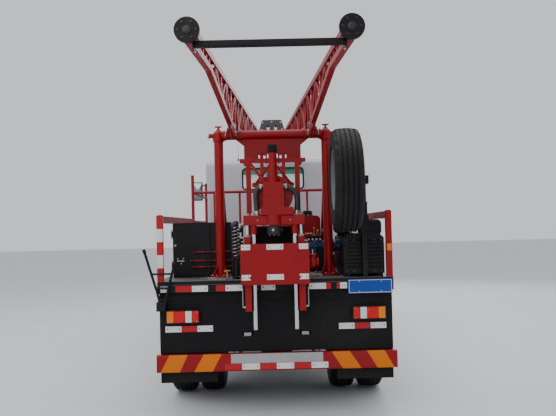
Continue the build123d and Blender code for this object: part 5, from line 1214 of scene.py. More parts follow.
for face in (-1, 1):
    pin = on_mast(face * 0.0825, 0.45, -0.25)
    add_bolt_ring(yoke_bolts, pin, (face, 0, 0), 0.012, 3, 0.0045, 0.003)
place("yoke_pin_bolts", yoke_bolts, zinc, "mast")
print("lift dressed")

# %% [markdown]
# ## Cab
# Rubber seals hold the panes, and a band of green tint runs along the rear window's top. Wipers park at the
# foot of the windscreen, lamps stand on the roof edge, and each door has a pull handle, a window seal and a
# step below. The door parts ride on their door, so they swing out with it.

# %% Seals round the panes
CAB_REAR, CAB_FRONT, CAB_HALF, CAB_ROOF = ahead(5.6), ahead(7.54), 1.19, 3.03


def rounded_loop(width, height, corner, steps=5):
    """Rounded rectangle about the origin, as (across, up)."""
    points = []
    for cx, cy, start in ((1, 1, 0), (-1, 1, 90), (-1, -1, 180), (1, -1, 270)):
        for k in range(steps + 1):
            angle = radians(start + 90 * k / steps)
            points.append((cx * (width / 2 - corner) + corner * cos(angle), cy * (height / 2 - corner)
                + corner * sin(angle)))
    return points


def add_layers(mesh, middle, out, layers, cap=True):
    """Rounded rectangles stacked along a direction; each layer is (width, height, corner, rise)."""
    up = Vector(FORWARD if out == UP else UP)
    add_shell(mesh, [[Vector(middle) + Vector(out) * rise + Vector(RIGHT) * a + up * b
        for a, b in rounded_loop(width, height, corner)] for width, height, corner, rise in layers], cap)


def shrinking(width, height, corner, steps):
    """Layers of one rounded shape; each step is (scale, rise)."""
    return [(width * scale, height * scale, corner * scale, rise) for scale, rise in steps]


def add_seal(mesh, middle, across, up, width, height, corner, lip=0.016, proud=0.007, sink=0.012):
    """Rubber channel round a window: it covers the edge of the hole by the lip and stands proud of it."""
    across, up = Vector(across).normalized(), Vector(up).normalized()
    out = across.cross(up)
    rings = []
    for grow, rise in ((lip, 0.0005), (lip, proud * 0.6), (lip * 0.6, proud), (-lip * 0.35, proud),
            (-lip * 0.8, 0.002), (-lip * 0.8, -sink), (0, -sink)):
        rings.append([Vector(middle) + across * a + up * b + out * rise for a, b in rounded_loop(width + 2
            * grow, height + 2 * grow, corner + max(grow, -corner / 2))])
    add_shell(mesh, rings, ring=True)


seals = bmesh.new()
REAR_WINDOW = (1.07, 0.37, 2.69)
add_seal(seals, (0, CAB_REAR, REAR_WINDOW[2]), (-1, 0, 0), UP, REAR_WINDOW[0], REAR_WINDOW[1], 0.06)
for sign in (-1, 1):
    add_seal(seals, (sign * CAB_HALF, ahead(5.92), 2.38), (0, sign, 0), UP, 0.28, 0.56, 0.05)
screen_low, screen_high = Vector((0, CAB_FRONT - 0.04, 1.96)), Vector((0, CAB_FRONT - 0.33, 3.03))
screen_up = (screen_high - screen_low).normalized()
screen_middle_z = (1.96 + 3.03) / 2 - 0.02
screen_middle = screen_low + screen_up * ((screen_middle_z - 1.96) / screen_up.z)
screen_height = (3.03 - 1.96 - 0.21) / screen_up.z
add_seal(seals, screen_middle, RIGHT, -screen_up, 2.08, screen_height, 0.07, sink=0.02)
place("window_seals", seals, black_rubber, fold=60)

tint = bmesh.new()
rear_band = [Vector((x, CAB_REAR + 0.0155, REAR_WINDOW[2] + z)) for x, z in ((-0.523, 0.075), (0.523, 0.075),
    (0.523, 0.13), (0.505, 0.165), (0.475, 0.174), (-0.475, 0.174), (-0.505, 0.165), (-0.523, 0.13))]
add_plate(tint, rear_band, BACK, 0.0006)
tint_film = finish("green window film", (0.04, 0.3, 0.16), (0.03, 0.24, 0.13), (0.15, 0.25), dust=0.1)
place("rear_window_band", tint, tint_film)

for side, sign in (("left", -1), ("right", 1)):
    mesh, lock = new_meshes(2)
    window = [(ahead(6.25), 2.02), (ahead(6.25), 2.77), (ahead(6.93), 2.77), (ahead(7.1), 2.02)]
    loops = []
    for grow, rise in ((0.016, 0.0005), (0.016, 0.004), (0.008, 0.006), (-0.008, 0.006), (-0.012, 0.001),
            (-0.012, -0.012), (0, -0.012)):
        loop = []
        for k, (y, z) in enumerate(window):
            y0, z0 = window[k - 1]
            y1, z1 = window[(k + 1) % 4]
            here = Vector((y, z))
            back, forth = (Vector((y0, z0)) - here).normalized(), (Vector((y1, z1)) - here).normalized()
            bisector = (back + forth).normalized()
            corner = here - bisector * grow * 1.3
            for t in range(6):
                share = t / 5
                start, end = corner + back * 0.05, corner + forth * 0.05
                point = start * (1 - share) ** 2 + corner * 2 * share * (1 - share) + end * share ** 2
                loop.append((sign * (CAB_HALF + rise), point.x, point.y))
        loops.append(loop)
    add_shell(mesh, loops, ring=True)
    place(f"door_window_seal_{side}", mesh, black_rubber, f"cab_door_{side}", fold=60)
    pane = bmesh.new()
    add_plate(pane, [(sign * 1.17, y, z) for y, z in window], (sign, 0, 0), 0.004)
    place(f"door_window_{side}", pane, cab_window, f"cab_door_{side}")
    handle_y, handle_z = ahead(6.285), 1.895
    add_turned(lock, (sign * (CAB_HALF + 0.001), handle_y - 0.09, handle_z), (sign, 0, 0),
        [(0, 0.014), (0.004, 0.014), (0.006, 0.011)], 20)
    place(f"door_lock_{side}", lock, zinc, f"cab_door_{side}")
    trim = bmesh.new()
    add_block(trim, (sign * CAB_HALF, ahead(6.19), 1.52), (sign * (CAB_HALF + 0.012), ahead(7.17), 1.585))
    place(f"door_rubbing_strip_{side}", trim, black_plastic, f"cab_door_{side}", bevel=0.003)
print("cab glazed")

# %% Wipers, roof lamps, steps and the aerial
wipers, blades, lamps, lamp_bases, steps, treads = new_meshes(6)
screen_out = Vector((0, screen_up.z, -screen_up.y))
for x, lean in ((-0.62, 0.34), (0.28, 0.34)):
    foot = screen_low + Vector((x, 0, 0)) + screen_up * 0.04 + screen_out * 0.008
    tip = foot + Vector((lean, 0, 0)) + screen_up * 0.3 + screen_out * 0.012
    add_turned(wipers, foot - screen_out * 0.006, screen_out, [(0, 0.022), (0.02, 0.02), (0.026, 0.014)], 20)
    add_pipe(wipers, [foot + screen_out * 0.016, foot + (tip - foot) * 0.5 + screen_out * 0.018,
        tip + screen_out * 0.004], 0.006)
    blade = (Vector((0.46, 0, 0)) + screen_up * 0.2).normalized()
    middle = tip - screen_out * 0.004
    add_bar(blades, middle - blade * 0.27, middle + blade * 0.27, 0.0055, 8)
for x in (-0.95, -0.28, 0, 0.28, 0.95):
    low, high = Vector((x - 0.055, ahead(7.06), CAB_ROOF - 0.004)), Vector((x + 0.055, ahead(7.13),
        CAB_ROOF + 0.012))
    add_block(lamp_bases, low, high)
    add_layers(lamps, (x, ahead(7.095), CAB_ROOF + 0.012), UP, shrinking(0.098, 0.058, 0.02,
        ((1, 0), (0.97, 0.012), (0.86, 0.022), (0.62, 0.028))))
place("wiper_arms", wipers, black_plastic)
place("wiper_blades", blades, black_rubber)
place("roof_lamp_bases", lamp_bases, black_plastic, bevel=0.002)
place("roof_lamps", lamps, amber_lens, fold=50)
for sign in (-1, 1):
    for z in (0.7, 1):
        x_span = sorted((sign * 1.12, sign * 1.186))
        add_block(steps, (x_span[0], ahead(6.88), z), (x_span[1], ahead(7.34), z + 0.028))
        for k in range(8):
            y = ahead(6.91 + 0.055 * k)
            add_block(treads, (x_span[0] + 0.008, y, z + 0.028), (x_span[1] - 0.006, y + 0.02, z + 0.032))
place("cab_steps", steps, black_plastic, bevel=0.003)
place("step_treads", treads, bare_steel)
whip = bmesh.new()
add_turned(whip, (-0.61, ahead(5.72), CAB_ROOF - 0.002), UP, [(0, 0.022), (0.012, 0.02), (0.03, 0.01),
    (0.05, 0.006)], 20)
add_bar(whip, (-0.61, ahead(5.72), CAB_ROOF + 0.04), (-0.615, ahead(5.7), CAB_ROOF + 0.27), 0.0028, 8)
place("aerial", whip, black_plastic)
print("cab trim on")

# %% [markdown]
# ## Front, mirrors and the cab's inside
# The lamps sit in recesses of the bumper behind clear glass, each with a bright bowl. The mirrors have convex
# glass in a moulded case. Inside, the seats are cushions with piped edges and quilted fields, and the
# dashboard carries dials, vents and a padded wheel.

# %% Head lamps and grille mesh
bowls, lens, bezels, bulbs = new_meshes(4)
NOSE = ahead(7.6)
for sign in (-1, 1):
    x, z = sign * 0.88, 0.525
    for offset in (-0.058, 0.058):
        middle = Vector((x + offset, NOSE - 0.007, z))
        profile = [(-0.028 + 0.028 * (r / 0.046) ** 2, r) for r in (0.01, 0.02, 0.03, 0.04, 0.046)]
        add_turned(bowls, middle, FORWARD, profile)
        add_turned(bulbs, middle - Vector((0, 0.026, 0)), FORWARD, [(0, 0.008), (0.012, 0.008),
            (0.016, 0.004)], 12)
    add_layers(lens, (x, NOSE - 0.004, z), FORWARD, shrinking(0.236, 0.096, 0.02,
        ((1, -0.002), (0.985, 0.002), (0.93, 0.0035))))
    add_layers(bezels, (x, NOSE, z), FORWARD, [(0.27, 0.13, 0.022, 0), (0.262, 0.122, 0.02, -0.0005),
        (0.244, 0.104, 0.018, -0.0005), (0.24, 0.1, 0.018, -0.0075), (0.27, 0.13, 0.022, -0.0075)], cap=False)
chrome_bowl = finish("lamp bowl", (0.85, 0.85, 0.86), (0.8, 0.8, 0.81), (0.05, 0.12), metal=1, dust=0.03)
place("lamp_bowls", bowls, chrome_bowl, fold=50)
place("lamp_bulbs", bulbs, clear_lens)
place("lamp_glasses", lens, lamp_glass, fold=50)
place("lamp_bezels", bezels, black_plastic)
grille, grille_bolts = new_meshes(2)
for k in range(40):
    x = -0.78 + 0.04 * k
    add_block(grille, (x - 0.002, ahead(7.541), 1.225), (x + 0.002, ahead(7.548), 1.665))
for x in (-0.82, -0.3, 0.3, 0.82):
    for z in (1.235, 1.45, 1.655):
        add_bolt(grille_bolts, (x, ahead(7.562), z), FORWARD, 0.007, 0.005)
place("grille_mesh", grille, black_paint)
place("grille_bolts", grille_bolts, zinc)
turn_lamps = bmesh.new()
for sign in (-1, 1):
    add_layers(turn_lamps, (sign * 1, ahead(7.54), 1.3), FORWARD, shrinking(0.19, 0.1, 0.03,
        ((1, -0.003), (0.98, 0.01), (0.86, 0.016))))
place("turn_lamps", turn_lamps, amber_lens, fold=50)
print("front dressed")

# %% Mirrors
mirror_glass_mesh, mirror_rims = new_meshes(2)
mirror_y, mirror_z = ahead(7.3), CAB_ROOF - 0.455
for sign in (-1, 1):
    x = sign * 1.505
    add_layers(mirror_glass_mesh, (x, mirror_y - 0.0305, mirror_z), BACK, shrinking(0.156, 0.33, 0.02,
        ((1, 0), (0.7, 0.0035), (0.4, 0.005), (0.1, 0.006))))
    add_layers(mirror_rims, (x, mirror_y - 0.03, mirror_z), BACK, [(0.18, 0.36, 0.022, 0),
        (0.176, 0.356, 0.022, 0.005), (0.162, 0.338, 0.022, 0.005), (0.158, 0.334, 0.022, 0)], cap=False)
    for z in (CAB_ROOF - 0.53, CAB_ROOF - 0.34):
        add_turned(mirror_rims, (sign * 1.4, mirror_y - 0.012, z), (sign, 0.02, 0),
            [(0, 0.017), (0.03, 0.017), (0.034, 0.013)], 16)
place("mirror_faces", mirror_glass_mesh, mirror_glass, fold=60)
place("mirror_rims", mirror_rims, black_plastic)
print("mirrors dressed")

# %% Seats
def cushion(name, middle, size, lean=0, fields=3, material=None):
    """Padded block: rounded by subdivision, with sewn channels across its face."""
    mesh = bmesh.new()
    across, deep = 14, 12
    grid = {}
    for face, height in (("low", 0), ("high", 1)):
        for i in range(across + 1):
            for j in range(deep + 1):
                u, v = i / across, j / deep
                edge = min(u, 1 - u, v, 1 - v)
                swell = 0.5 * (1 - exp(-edge * 16)) + 0.5
                channel = 0
                if face == "high":
                    for k in range(1, fields):
                        channel = max(channel, exp(-((v - k / fields) * deep * 1.4) ** 2))
                z = (height * swell - channel * 0.1
                    * (1 if 0.12 < u < 0.88 else 0.4)) if face == "high" else 0
                squeeze = 1 - (0.03 if edge < 0.01 else 0)
                grid[face, i, j] = mesh.verts.new(((u - 0.5) * size[0] * squeeze,
                    (v - 0.5) * size[1] * squeeze, (z - 0.5) * size[2]))
    for i in range(across):
        for j in range(deep):
            mesh.faces.new([grid["high", i + a, j + b] for a, b in ((0, 0), (1, 0), (1, 1), (0, 1))])
            mesh.faces.new([grid["low", i + a, j + b] for a, b in ((0, 0), (0, 1), (1, 1), (1, 0))])
    for i in range(across):
        for j in (0, deep):
            mesh.faces.new([grid["low", i, j], grid["low", i + 1, j], grid["high", i + 1, j],
                grid["high", i, j]])
    for j in range(deep):
        for i in (0, across):
            mesh.faces.new([grid["low", i, j], grid["low", i, j + 1], grid["high", i, j + 1],
                grid["high", i, j]])
    bmesh.ops.transform(mesh, matrix=Matrix.Translation(middle) @ Matrix.Rotation(lean, 4, "X"),
        verts=mesh.verts)
    piece = place(name, mesh, material or seat_cloth, fold=80)
    soft = piece.modifiers.new("soft", "SUBSURF")
    soft.levels = soft.render_levels = 1
    return piece


FLOOR_Z, SEAT_Y = 1.13, ahead(5.732)
for k, x in enumerate((-0.72, 0, 0.72)):
    cushion(f"seat_squab_{k}", Vector((x, SEAT_Y + 0.37, FLOOR_Z + 0.375)), (0.47, 0.5, 0.13), 0.05)
    cushion(f"seat_back_{k}", Vector((x, SEAT_Y + 0.105, FLOOR_Z + 0.76)), (0.45, 0.56, 0.11),
        radians(83) - pi)
    cushion(f"seat_head_{k}", Vector((x, SEAT_Y + 0.055, FLOOR_Z + 1)), (0.27, 0.12, 0.09), radians(86) - pi,
        1)
pedestals = bmesh.new()
for x in (-0.72, 0, 0.72):
    add_block(pedestals, (x - 0.16, ahead(5.87), FLOOR_Z + 0.042), (x + 0.16, ahead(6.24), FLOOR_Z + 0.31))
    add_block(pedestals, (x - 0.215, ahead(5.76), FLOOR_Z + 0.29), (x + 0.215, ahead(6.34), FLOOR_Z + 0.315))
    for side in (-1, 1):
        add_bar(pedestals, (x + side * 0.06, SEAT_Y + 0.075, FLOOR_Z + 0.9), (x + side * 0.06, SEAT_Y + 0.06,
            FLOOR_Z + 0.98), 0.006, 10)
base_piece = place("seat_frames", pedestals, black_plastic, bevel=0.004)
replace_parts(base_piece, "seats")
print("seats made")

# %% Dashboard dials, vents and wheel grip
dials, vents = new_meshes(2)
face_y, face_z = ahead(7.135), 1.8
lean = Vector((0, -0.87, 0.5))
for x in (-0.83, -0.72, -0.61):
    add_turned(dials, (x, face_y + 0.01, face_z + 0.04), lean, [(0, 0.048), (0.01, 0.048), (0.014, 0.044),
        (0.01, 0.04)], 32)
for x in (-1, -0.3, 0.3, 1):
    for k in range(5):
        z = face_z - 0.02 + 0.022 * k
        add_block(vents, (x - 0.07, face_y - 0.002 + 0.013 * k, z), (x + 0.07, face_y + 0.02 + 0.013 * k,
            z + 0.007))
place("dials", dials, black_paint)
place("vents", vents, black_plastic)
grip = bmesh.new()
wheel_middle = Vector((-0.72, ahead(6.9), 2.01))
axis = Vector((0, -0.749, 0.663))
along, first, second = side_axes(axis)
loops = []
for k in range(72):
    angle = 2 * pi * k / 72
    out = first * cos(angle) + second * sin(angle)
    fat = 0.0162 + 0.0008 * cos(k * pi)
    loops.append([wheel_middle + out * (0.23 + fat * cos(t)) + along * fat * sin(t) for t in even_angles(12)])
add_shell(grip, loops, ring=True)
add_turned(grip, wheel_middle - axis * 0.02, axis, [(0, 0.055), (0.03, 0.055), (0.04, 0.045), (0.044, 0.02)],
    28)
place("wheel_grip", grip, black_rubber, fold=60)
print("cab inside made")

# %% [markdown]
# ## Hydraulic pump and its valve bank
# The pump is a row of castings bolted flange to flange, painted blue, on a black welded stand. The levers of
# the hand valves stand on a black block above it, with brass ends. A lathe profile gives the castings in one
# go, and the ribs come from stepping its radius. This piece stands for the model's plainer pump.

# %% Pump castings, stand and levers
PUMP_AHEAD, PUMP_Z, PUMP_START = ahead(0.62), 1.625, 0.34
pump, stand, bank, levers, pump_bolts = new_meshes(5)
casting = [(0, 0.04), (0.012, 0.062), (0.08, 0.062), (0.081, 0.076), (0.098, 0.076), (0.099, 0.058)]
for k in range(8):
    start = 0.11 + 0.021 * k
    casting += [(start, 0.056), (start + 0.002, 0.062), (start + 0.01, 0.062), (start + 0.012, 0.056)]
casting += [(0.28, 0.057), (0.281, 0.074), (0.3, 0.074), (0.301, 0.06), (0.3595, 0.066)]
add_turned(pump, (PUMP_START, PUMP_AHEAD, PUMP_Z), RIGHT, casting, 40)
add_block(stand, (0.46, PUMP_AHEAD - 0.045, deck_top + 0.02), (0.56, PUMP_AHEAD + 0.045, PUMP_Z - 0.05))
add_block(stand, (0.43, PUMP_AHEAD - 0.08, deck_top), (0.59, PUMP_AHEAD + 0.08, deck_top + 0.02))
for sign in (-1, 1):
    y = PUMP_AHEAD + sign * 0.045
    add_shell(stand, [[(x, y, deck_top + 0.02), (x, y + sign * 0.03, deck_top + 0.02),
        (x, y, deck_top + 0.16)] for x in (0.505, 0.515)])
    for x in (0.445, 0.575):
        add_bolt(pump_bolts, (x, PUMP_AHEAD + sign * 0.062, deck_top + 0.02), UP, 0.009)
for k in range(4):
    x = 0.352 + 0.041 * k
    add_block(bank, (x, PUMP_AHEAD - 0.04, PUMP_Z + 0.04), (x + 0.038, PUMP_AHEAD + 0.04, PUMP_Z + 0.112))
    add_turned(pump_bolts, (x + 0.019, PUMP_AHEAD - 0.04, PUMP_Z + 0.07), BACK, [(0, 0.014), (0.01, 0.014),
        (0.013, 0.01), (0.022, 0.01)], 6)
add_bar(levers, (0.336, PUMP_AHEAD - 0.01, 1.756), (0.412, PUMP_AHEAD - 0.01, 1.762), 0.0065, 10)
for x, lean, top in ((0.43, 0, 1.812), (0.452, 0.016, 1.782), (0.478, -0.012, 1.786), (0.5, 0.022, 1.79)):
    add_bar(levers, (x, PUMP_AHEAD - 0.01, 1.735), (x + lean, PUMP_AHEAD - 0.02, top), 0.0048, 10)
    add_turned(levers, (x + lean, PUMP_AHEAD - 0.02, top), (lean, 0, 0.08), [(-0.004, 0.007), (0.008, 0.009),
        (0.014, 0.005)], 12)
for x in (0.34, 0.37, 0.4):
    add_turned(levers, (x, PUMP_AHEAD - 0.01, 1.75), UP, [(0, 0.009), (0.018, 0.009), (0.02, 0.006)], 6)
add_bolt_ring(pump_bolts, (PUMP_START + 0.098, PUMP_AHEAD, PUMP_Z), RIGHT, 0.068, 8, 0.006, 0.006)
add_bolt_ring(pump_bolts, (PUMP_START + 0.281, PUMP_AHEAD, PUMP_Z), (-1, 0, 0), 0.067, 8, 0.006, 0.006)
add_turned(pump_bolts, (0.655, PUMP_AHEAD - 0.05, PUMP_Z + 0.035), (0, -1, 0.5),
    [(0, 0.02), (0.03, 0.02), (0.034, 0.013), (0.05, 0.013)], 6)
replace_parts(place("pump_castings", pump, blue_paint, bevel=0.0008), "hydraulic_pump")
place("pump_stand", stand, black_paint, bevel=0.002)
place("valve_bank", bank, black_paint, bevel=0.002)
place("valve_levers", levers, brass_fitting)
place("pump_bolts", pump_bolts, zinc)
print("pump dressed")

# %% [markdown]
# ## Deck engine
# The engine hides under a black cowl, bolted along its edges, with an air cleaner on top and an exhaust stack
# behind. The lids of the cowl have folded edges and turn buckles. Two oil filters lie beside the cleaner, and
# the stack ends in a rain flap.

# %% Cowl, air cleaner, stack and filters
ENGINE_X, ENGINE_Y, ENGINE_TOP = (0.7, 1.108), (ahead(0.09), ahead(1.2)), 1.76
CLEANER = Vector((ENGINE_X[1] - 0.112, ENGINE_Y[0] + 0.012, ENGINE_TOP + 0.04))
cowl_bolts, cleaner, bands, stack, lids = new_meshes(5)
for x in (0.728, 0.8, 1.01, 1.08):
    for z in (1.375, 1.69):
        add_bolt(cowl_bolts, (x, ENGINE_Y[0], z), BACK, 0.008, 0.006)
for k in range(6):
    y = ENGINE_Y[0] + 0.08 + 0.19 * k
    for x, face in ((ENGINE_X[0], -1), (ENGINE_X[1], 1)):
        add_bolt(cowl_bolts, (x, y, 1.66), (face, 0, 0), 0.008, 0.006)
        add_block(lids, (x, y + 0.02, 1.42), (x + face * 0.004, y + 0.17, 1.63))
for y in (ENGINE_Y[0] + 0.05, ENGINE_Y[0] + 0.36):
    add_turned(bands, (CLEANER.x, y, CLEANER.z), FORWARD, [(0, 0.086), (0, 0.0915), (0.022, 0.0915),
        (0.022, 0.086)], 40, cap=False)
add_turned(cleaner, CLEANER, FORWARD, [(0, 0.03), (0.001, 0.08), (0.01, 0.0895), (0.42, 0.0895),
    (0.428, 0.08)], 40)
for angle in even_angles(7):
    out = Vector((cos(angle), 0, sin(angle)))
    add_bar(cleaner, CLEANER + out * 0.02, CLEANER + out * 0.075, 0.0045, 8)
stack_foot = Vector((ENGINE_X[1] - 0.07, ENGINE_Y[1] - 0.12, ENGINE_TOP))
add_turned(stack, stack_foot + Vector((0, 0, 0.03)), UP, [(0, 0.0385), (0, 0.05), (0.16, 0.05),
    (0.175, 0.0385)], 28)
add_turned(stack, stack_foot + Vector((0, 0, 0.318)), UP, [(0, 0.0385), (0.006, 0.0405), (0.014, 0.0405)], 28)
add_turned(stack, stack_foot + Vector((0, 0.012, 0.336)), (0, -0.35, 1), [(0, 0.043), (0.004, 0.043)], 28)
add_bar(lids, (0.715, ENGINE_Y[0] + 0.06, ENGINE_TOP + 0.022), (0.79, ENGINE_Y[0] + 0.06, ENGINE_TOP + 0.022),
    0.007, 10)
for x in (0.715, 0.79):
    add_bar(lids, (x, ENGINE_Y[0] + 0.06, ENGINE_TOP - 0.04), (x, ENGINE_Y[0] + 0.06, ENGINE_TOP + 0.022),
        0.007, 10)
place("cowl_bolts", cowl_bolts, grey_paint)
place("cowl_lids", lids, black_paint, bevel=0.0012)
place("air_cleaner", cleaner, black_paint)
place("air_cleaner_bands", bands, bare_steel)
# here the near-black is the stack's own colour
place("exhaust_stack", stack, painted_shade_and_stack_black)
filters = bmesh.new()
for x, z, radius in ((0.706, 1.812, 0.062), (0.772, 1.822, 0.052)):
    add_turned(filters, (x, ENGINE_Y[0] + 0.16, z), FORWARD, [(0, radius * 0.5), (0.002, radius * 0.86),
        (0.014, radius), (0.1, radius), (0.104, radius * 1.08), (0.128, radius * 1.08), (0.132, radius),
        (0.45, radius), (0.462, radius * 0.86)], 32)
    for y in (0.22, 0.52):
        add_block(filters, (x - 0.02, ENGINE_Y[0] + y, 1.72), (x + 0.02, ENGINE_Y[0] + y + 0.03,
            z - radius + 0.006))
place("oil_filters", filters, black_paint)
print("deck engine dressed")

# %% [markdown]
# ## Cabinet, tool board and mud curtain
# The cabinet's door has a paddle latch and key fittings, and its side is slotted for air. The auger stands
# before a black folded board. A rubber curtain hangs between the feed posts and keeps mud off the deck, and a
# length of chain lies round the foot of each column, link by link.

# %% Cabinet fittings, tool board and curtain
latch, slot_shades, board, curtain, curtain_bar, wrap = new_meshes(6)
CABINET_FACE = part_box("cabinet_door")[0].y
for x, z, size in ((-1.059, 1.665, 0.01), (-1.036, 1.525, 0.007), (-0.977, 1.525, 0.007), (-1, 1.472, 0.007)):
    add_turned(latch, (x, CABINET_FACE + 0.0045, z), BACK, [(0, size * 1.3), (0.005, size * 1.3),
        (0.007, size), (0.01, size * 0.8)], 16)
add_block(latch, (-1.045, CABINET_FACE - 0.004, 1.494), (-0.968, CABINET_FACE + 0.006, 1.506))
# Nine near-black strips on the cabinet's side: painted shade in its air slots.
for k in range(9):
    z = 1.46 + 0.032 * k
    add_block(slot_shades, (-0.461, ahead(0.6), z), (-0.4575, ahead(0.89), z + 0.012))
add_block(board, (-0.455, ahead(0.5), deck_top), (-0.33, ahead(0.506), 1.862))
add_block(board, (-0.455, ahead(0.506), deck_top), (-0.449, ahead(0.545), 1.862))
add_block(board, (-0.336, ahead(0.506), deck_top), (-0.33, ahead(0.535), 1.862))
add_block(wrap, (-0.462, ahead(0.492), 1.842), (-0.324, ahead(0.512), 1.88))
strip_y = ahead(0.08)
for k in range(7):
    x = -0.192 + 0.055 * k
    wave = 0.004 if k % 2 else 0
    add_block(curtain, (x, strip_y + wave, 1.585), (x + 0.058, strip_y + wave + 0.0035, 1.852))
add_bar(curtain_bar, (-0.222, strip_y - 0.002, 1.846), (0.222, strip_y - 0.002, 1.846), 0.008, 12)
for sign in (-1, 1):
    add_block(curtain_bar, (sign * 0.214, ahead(0.052), 1.834), (sign * 0.222, ahead(0.088), 1.858))
place("cabinet_latch", latch, zinc, "cabinet_door", bevel=0.0008)
place("cabinet_slot_shades", slot_shades, painted_shade_and_stack_black)
place("tool_board", board, black_paint, bevel=0.001)
place("tool_board_wrap", wrap, cap_purple, bevel=0.006)
place("mud_curtain", curtain, black_rubber)
place("mud_curtain_bar", curtain_bar, red_paint)


def add_link(mesh, middle, along, up, length=0.034, width=0.022, wire=0.0036):
    """One chain link: a round bar bent to an oval in the plane of along and up."""
    side = along.cross(up)
    loops = []
    for angle in even_angles(14):
        spine = middle + along * cos(angle) * length / 2 + up * sin(angle) * width / 2
        out = (along * cos(angle) * width + up * sin(angle) * length).normalized()
        loops.append([spine + out * cos(t) * wire + side * sin(t) * wire for t in even_angles(7)])
    add_shell(mesh, loops, ring=True)


def lay_chain(mesh, path, pitch=0.026):
    """Chain of links along a line of points; every second link stands on its edge."""
    points = [Vector(p) for p in path]
    distance, count = 0, 0
    for start, end in zip(points, points[1:]):
        run = (end - start).length
        along = (end - start).normalized()
        flat = Vector(UP).cross(along).normalized()
        while distance < run:
            up = flat if count % 2 else (flat * 0.35 + Vector(UP) * 0.94).normalized()
            lift = Vector((0, 0, 0.004 if count % 2 else 0.0125))
            add_link(mesh, start + along * distance + lift, along, up)
            distance += pitch
            count += 1
        distance -= run


chain = bmesh.new()
lay_chain(chain, [(x, ahead(y), deck_top) for x, y in ((-0.74, 0.11), (-0.7, 0.19), (-0.64, 0.12),
    (-0.58, 0.07), (-0.5, 0.1), (-0.45, 0.2), (-0.4, 0.24), (-0.36, 0.18))])
lay_chain(chain, [(x, ahead(y), deck_top + z) for x, y, z in ((0.34, 0.16, 0), (0.38, 0.26, 0),
    (0.44, 0.21, 0.012), (0.4, 0.14, 0.012), (0.36, 0.2, 0.022), (0.43, 0.28, 0.01), (0.48, 0.22, 0),
    (0.46, 0.12, 0))])
place("deck_chains", chain, bare_steel, fold=60)
print("cabinet, curtain and chains made")

# %% [markdown]
# A red gate valve stands beside the cover plate with its stem upright, and a small brass cock drains the
# column. Both are turned shapes, so one profile each gives the flanges, the body and the neck.

# %% Gate valve beside the feed and a drain cock at the column
valve, valve_steel, cock = new_meshes(3)
VALVE = Vector((0.303, DRILL_Y + 0.06, 1.49))
add_turned(valve, VALVE, RIGHT, [(-0.004, 0.046), (0.012, 0.046), (0.013, 0.03), (0.03, 0.034), (0.046, 0.05),
    (0.07, 0.056), (0.092, 0.05), (0.104, 0.034), (0.112, 0.04), (0.128, 0.04)], 32)
add_turned(valve, VALVE + Vector((0.07, 0, 0.03)), UP, [(0, 0.034), (0.03, 0.03), (0.032, 0.04),
    (0.044, 0.04)], 28)
add_turned(valve_steel, VALVE + Vector((0.07, 0, 0.07)), UP, [(0, 0.012), (0.022, 0.01), (0.046, 0.01),
    (0.05, 0.006)], 16)
add_bolt_ring(valve_steel, VALVE + Vector((0.07, 0, 0.074)), UP, 0.031, 6, 0.005, 0.004)
add_turned(cock, (-0.497, ahead(0.3), deck_top + 0.012), UP, [(0, 0.014), (0.03, 0.014), (0.034, 0.009),
    (0.06, 0.009), (0.064, 0.015), (0.074, 0.012)], 12)
add_bar(cock, (-0.53, ahead(0.3), deck_top + 0.07), (-0.465, ahead(0.3), deck_top + 0.078), 0.006, 10)
place("gate_valve", valve, red_paint)
place("gate_valve_stem", valve_steel, zinc)
place("drain_cock", cock, brass_fitting)
print("valves made")

# %% [markdown]
# ## Fittings on the tanks, rods, jacks and guard boards
# Steel bands hold the tanks to their feet, and each tank has a filler cap that turns off by hand. The drill
# rods end in tapered pins, and every jack has a bolted gland at the bottom of its barrel. Guard boards are
# bolted from outside. These are turned and folded parts, so each comes from a profile or a loop of corners.

# %% Tank bands, caps, rod ends, jack glands and guard bolts
tank_bands, tank_caps, tank_bolts, gauge, rod_ends = new_meshes(5)
for start in (1.2, 1.47):
    add_shell(tank_bands, [[(0.295 + u, ahead(y), 1.655 + v) for u, v in rounded_loop(0.476, 0.616, 0.053, 8)]
        for y in (start, start + 0.045)])
add_turned(tank_caps, (0.18, ahead(1.19), 1.998), UP, [(0, 0.047), (0.022, 0.047), (0.027, 0.041),
    (0.03, 0.02)], 12)
add_turned(tank_caps, (0.4, ahead(1.33), 1.955), UP, [(0, 0.075), (0.012, 0.075), (0.013, 0.055),
    (0.062, 0.055), (0.068, 0.046)], 28)
add_bolt_ring(tank_bolts, (0.4, ahead(1.33), 1.967), UP, 0.065, 6, 0.006, 0.006)
for z in (1.46, 1.74):
    add_block(gauge, (0.437, ahead(1.034), z - 0.014), (0.463, ahead(1.052), z + 0.014))
    add_bolt(tank_bolts, (0.45, ahead(1.034), z), BACK, 0.008, 0.006)
add_bar(gauge, (0.45, ahead(1.041), 1.46), (0.45, ahead(1.041), 1.74), 0.0065, 12)
for sign, front in ((-1, 3.7), (1, 3.3)):
    for start in (2.66, front - 0.2):
        add_shell(tank_bands, [[(sign * 0.8 + u, ahead(y), 0.74 + v) for u, v in rounded_loop(0.566, 0.476,
            0.123 if sign < 0 else 0.033, 8)] for y in (start, start + 0.04)])
add_turned(tank_caps, (-0.93, ahead(3.1), 0.962), UP, [(0, 0.05), (0.03, 0.05), (0.034, 0.044),
    (0.036, 0.02)], 14)
for x in (0.6, 1):
    add_block(tank_caps, (x - 0.02, ahead(2.494), 0.84), (x + 0.02, ahead(2.501), 0.93))
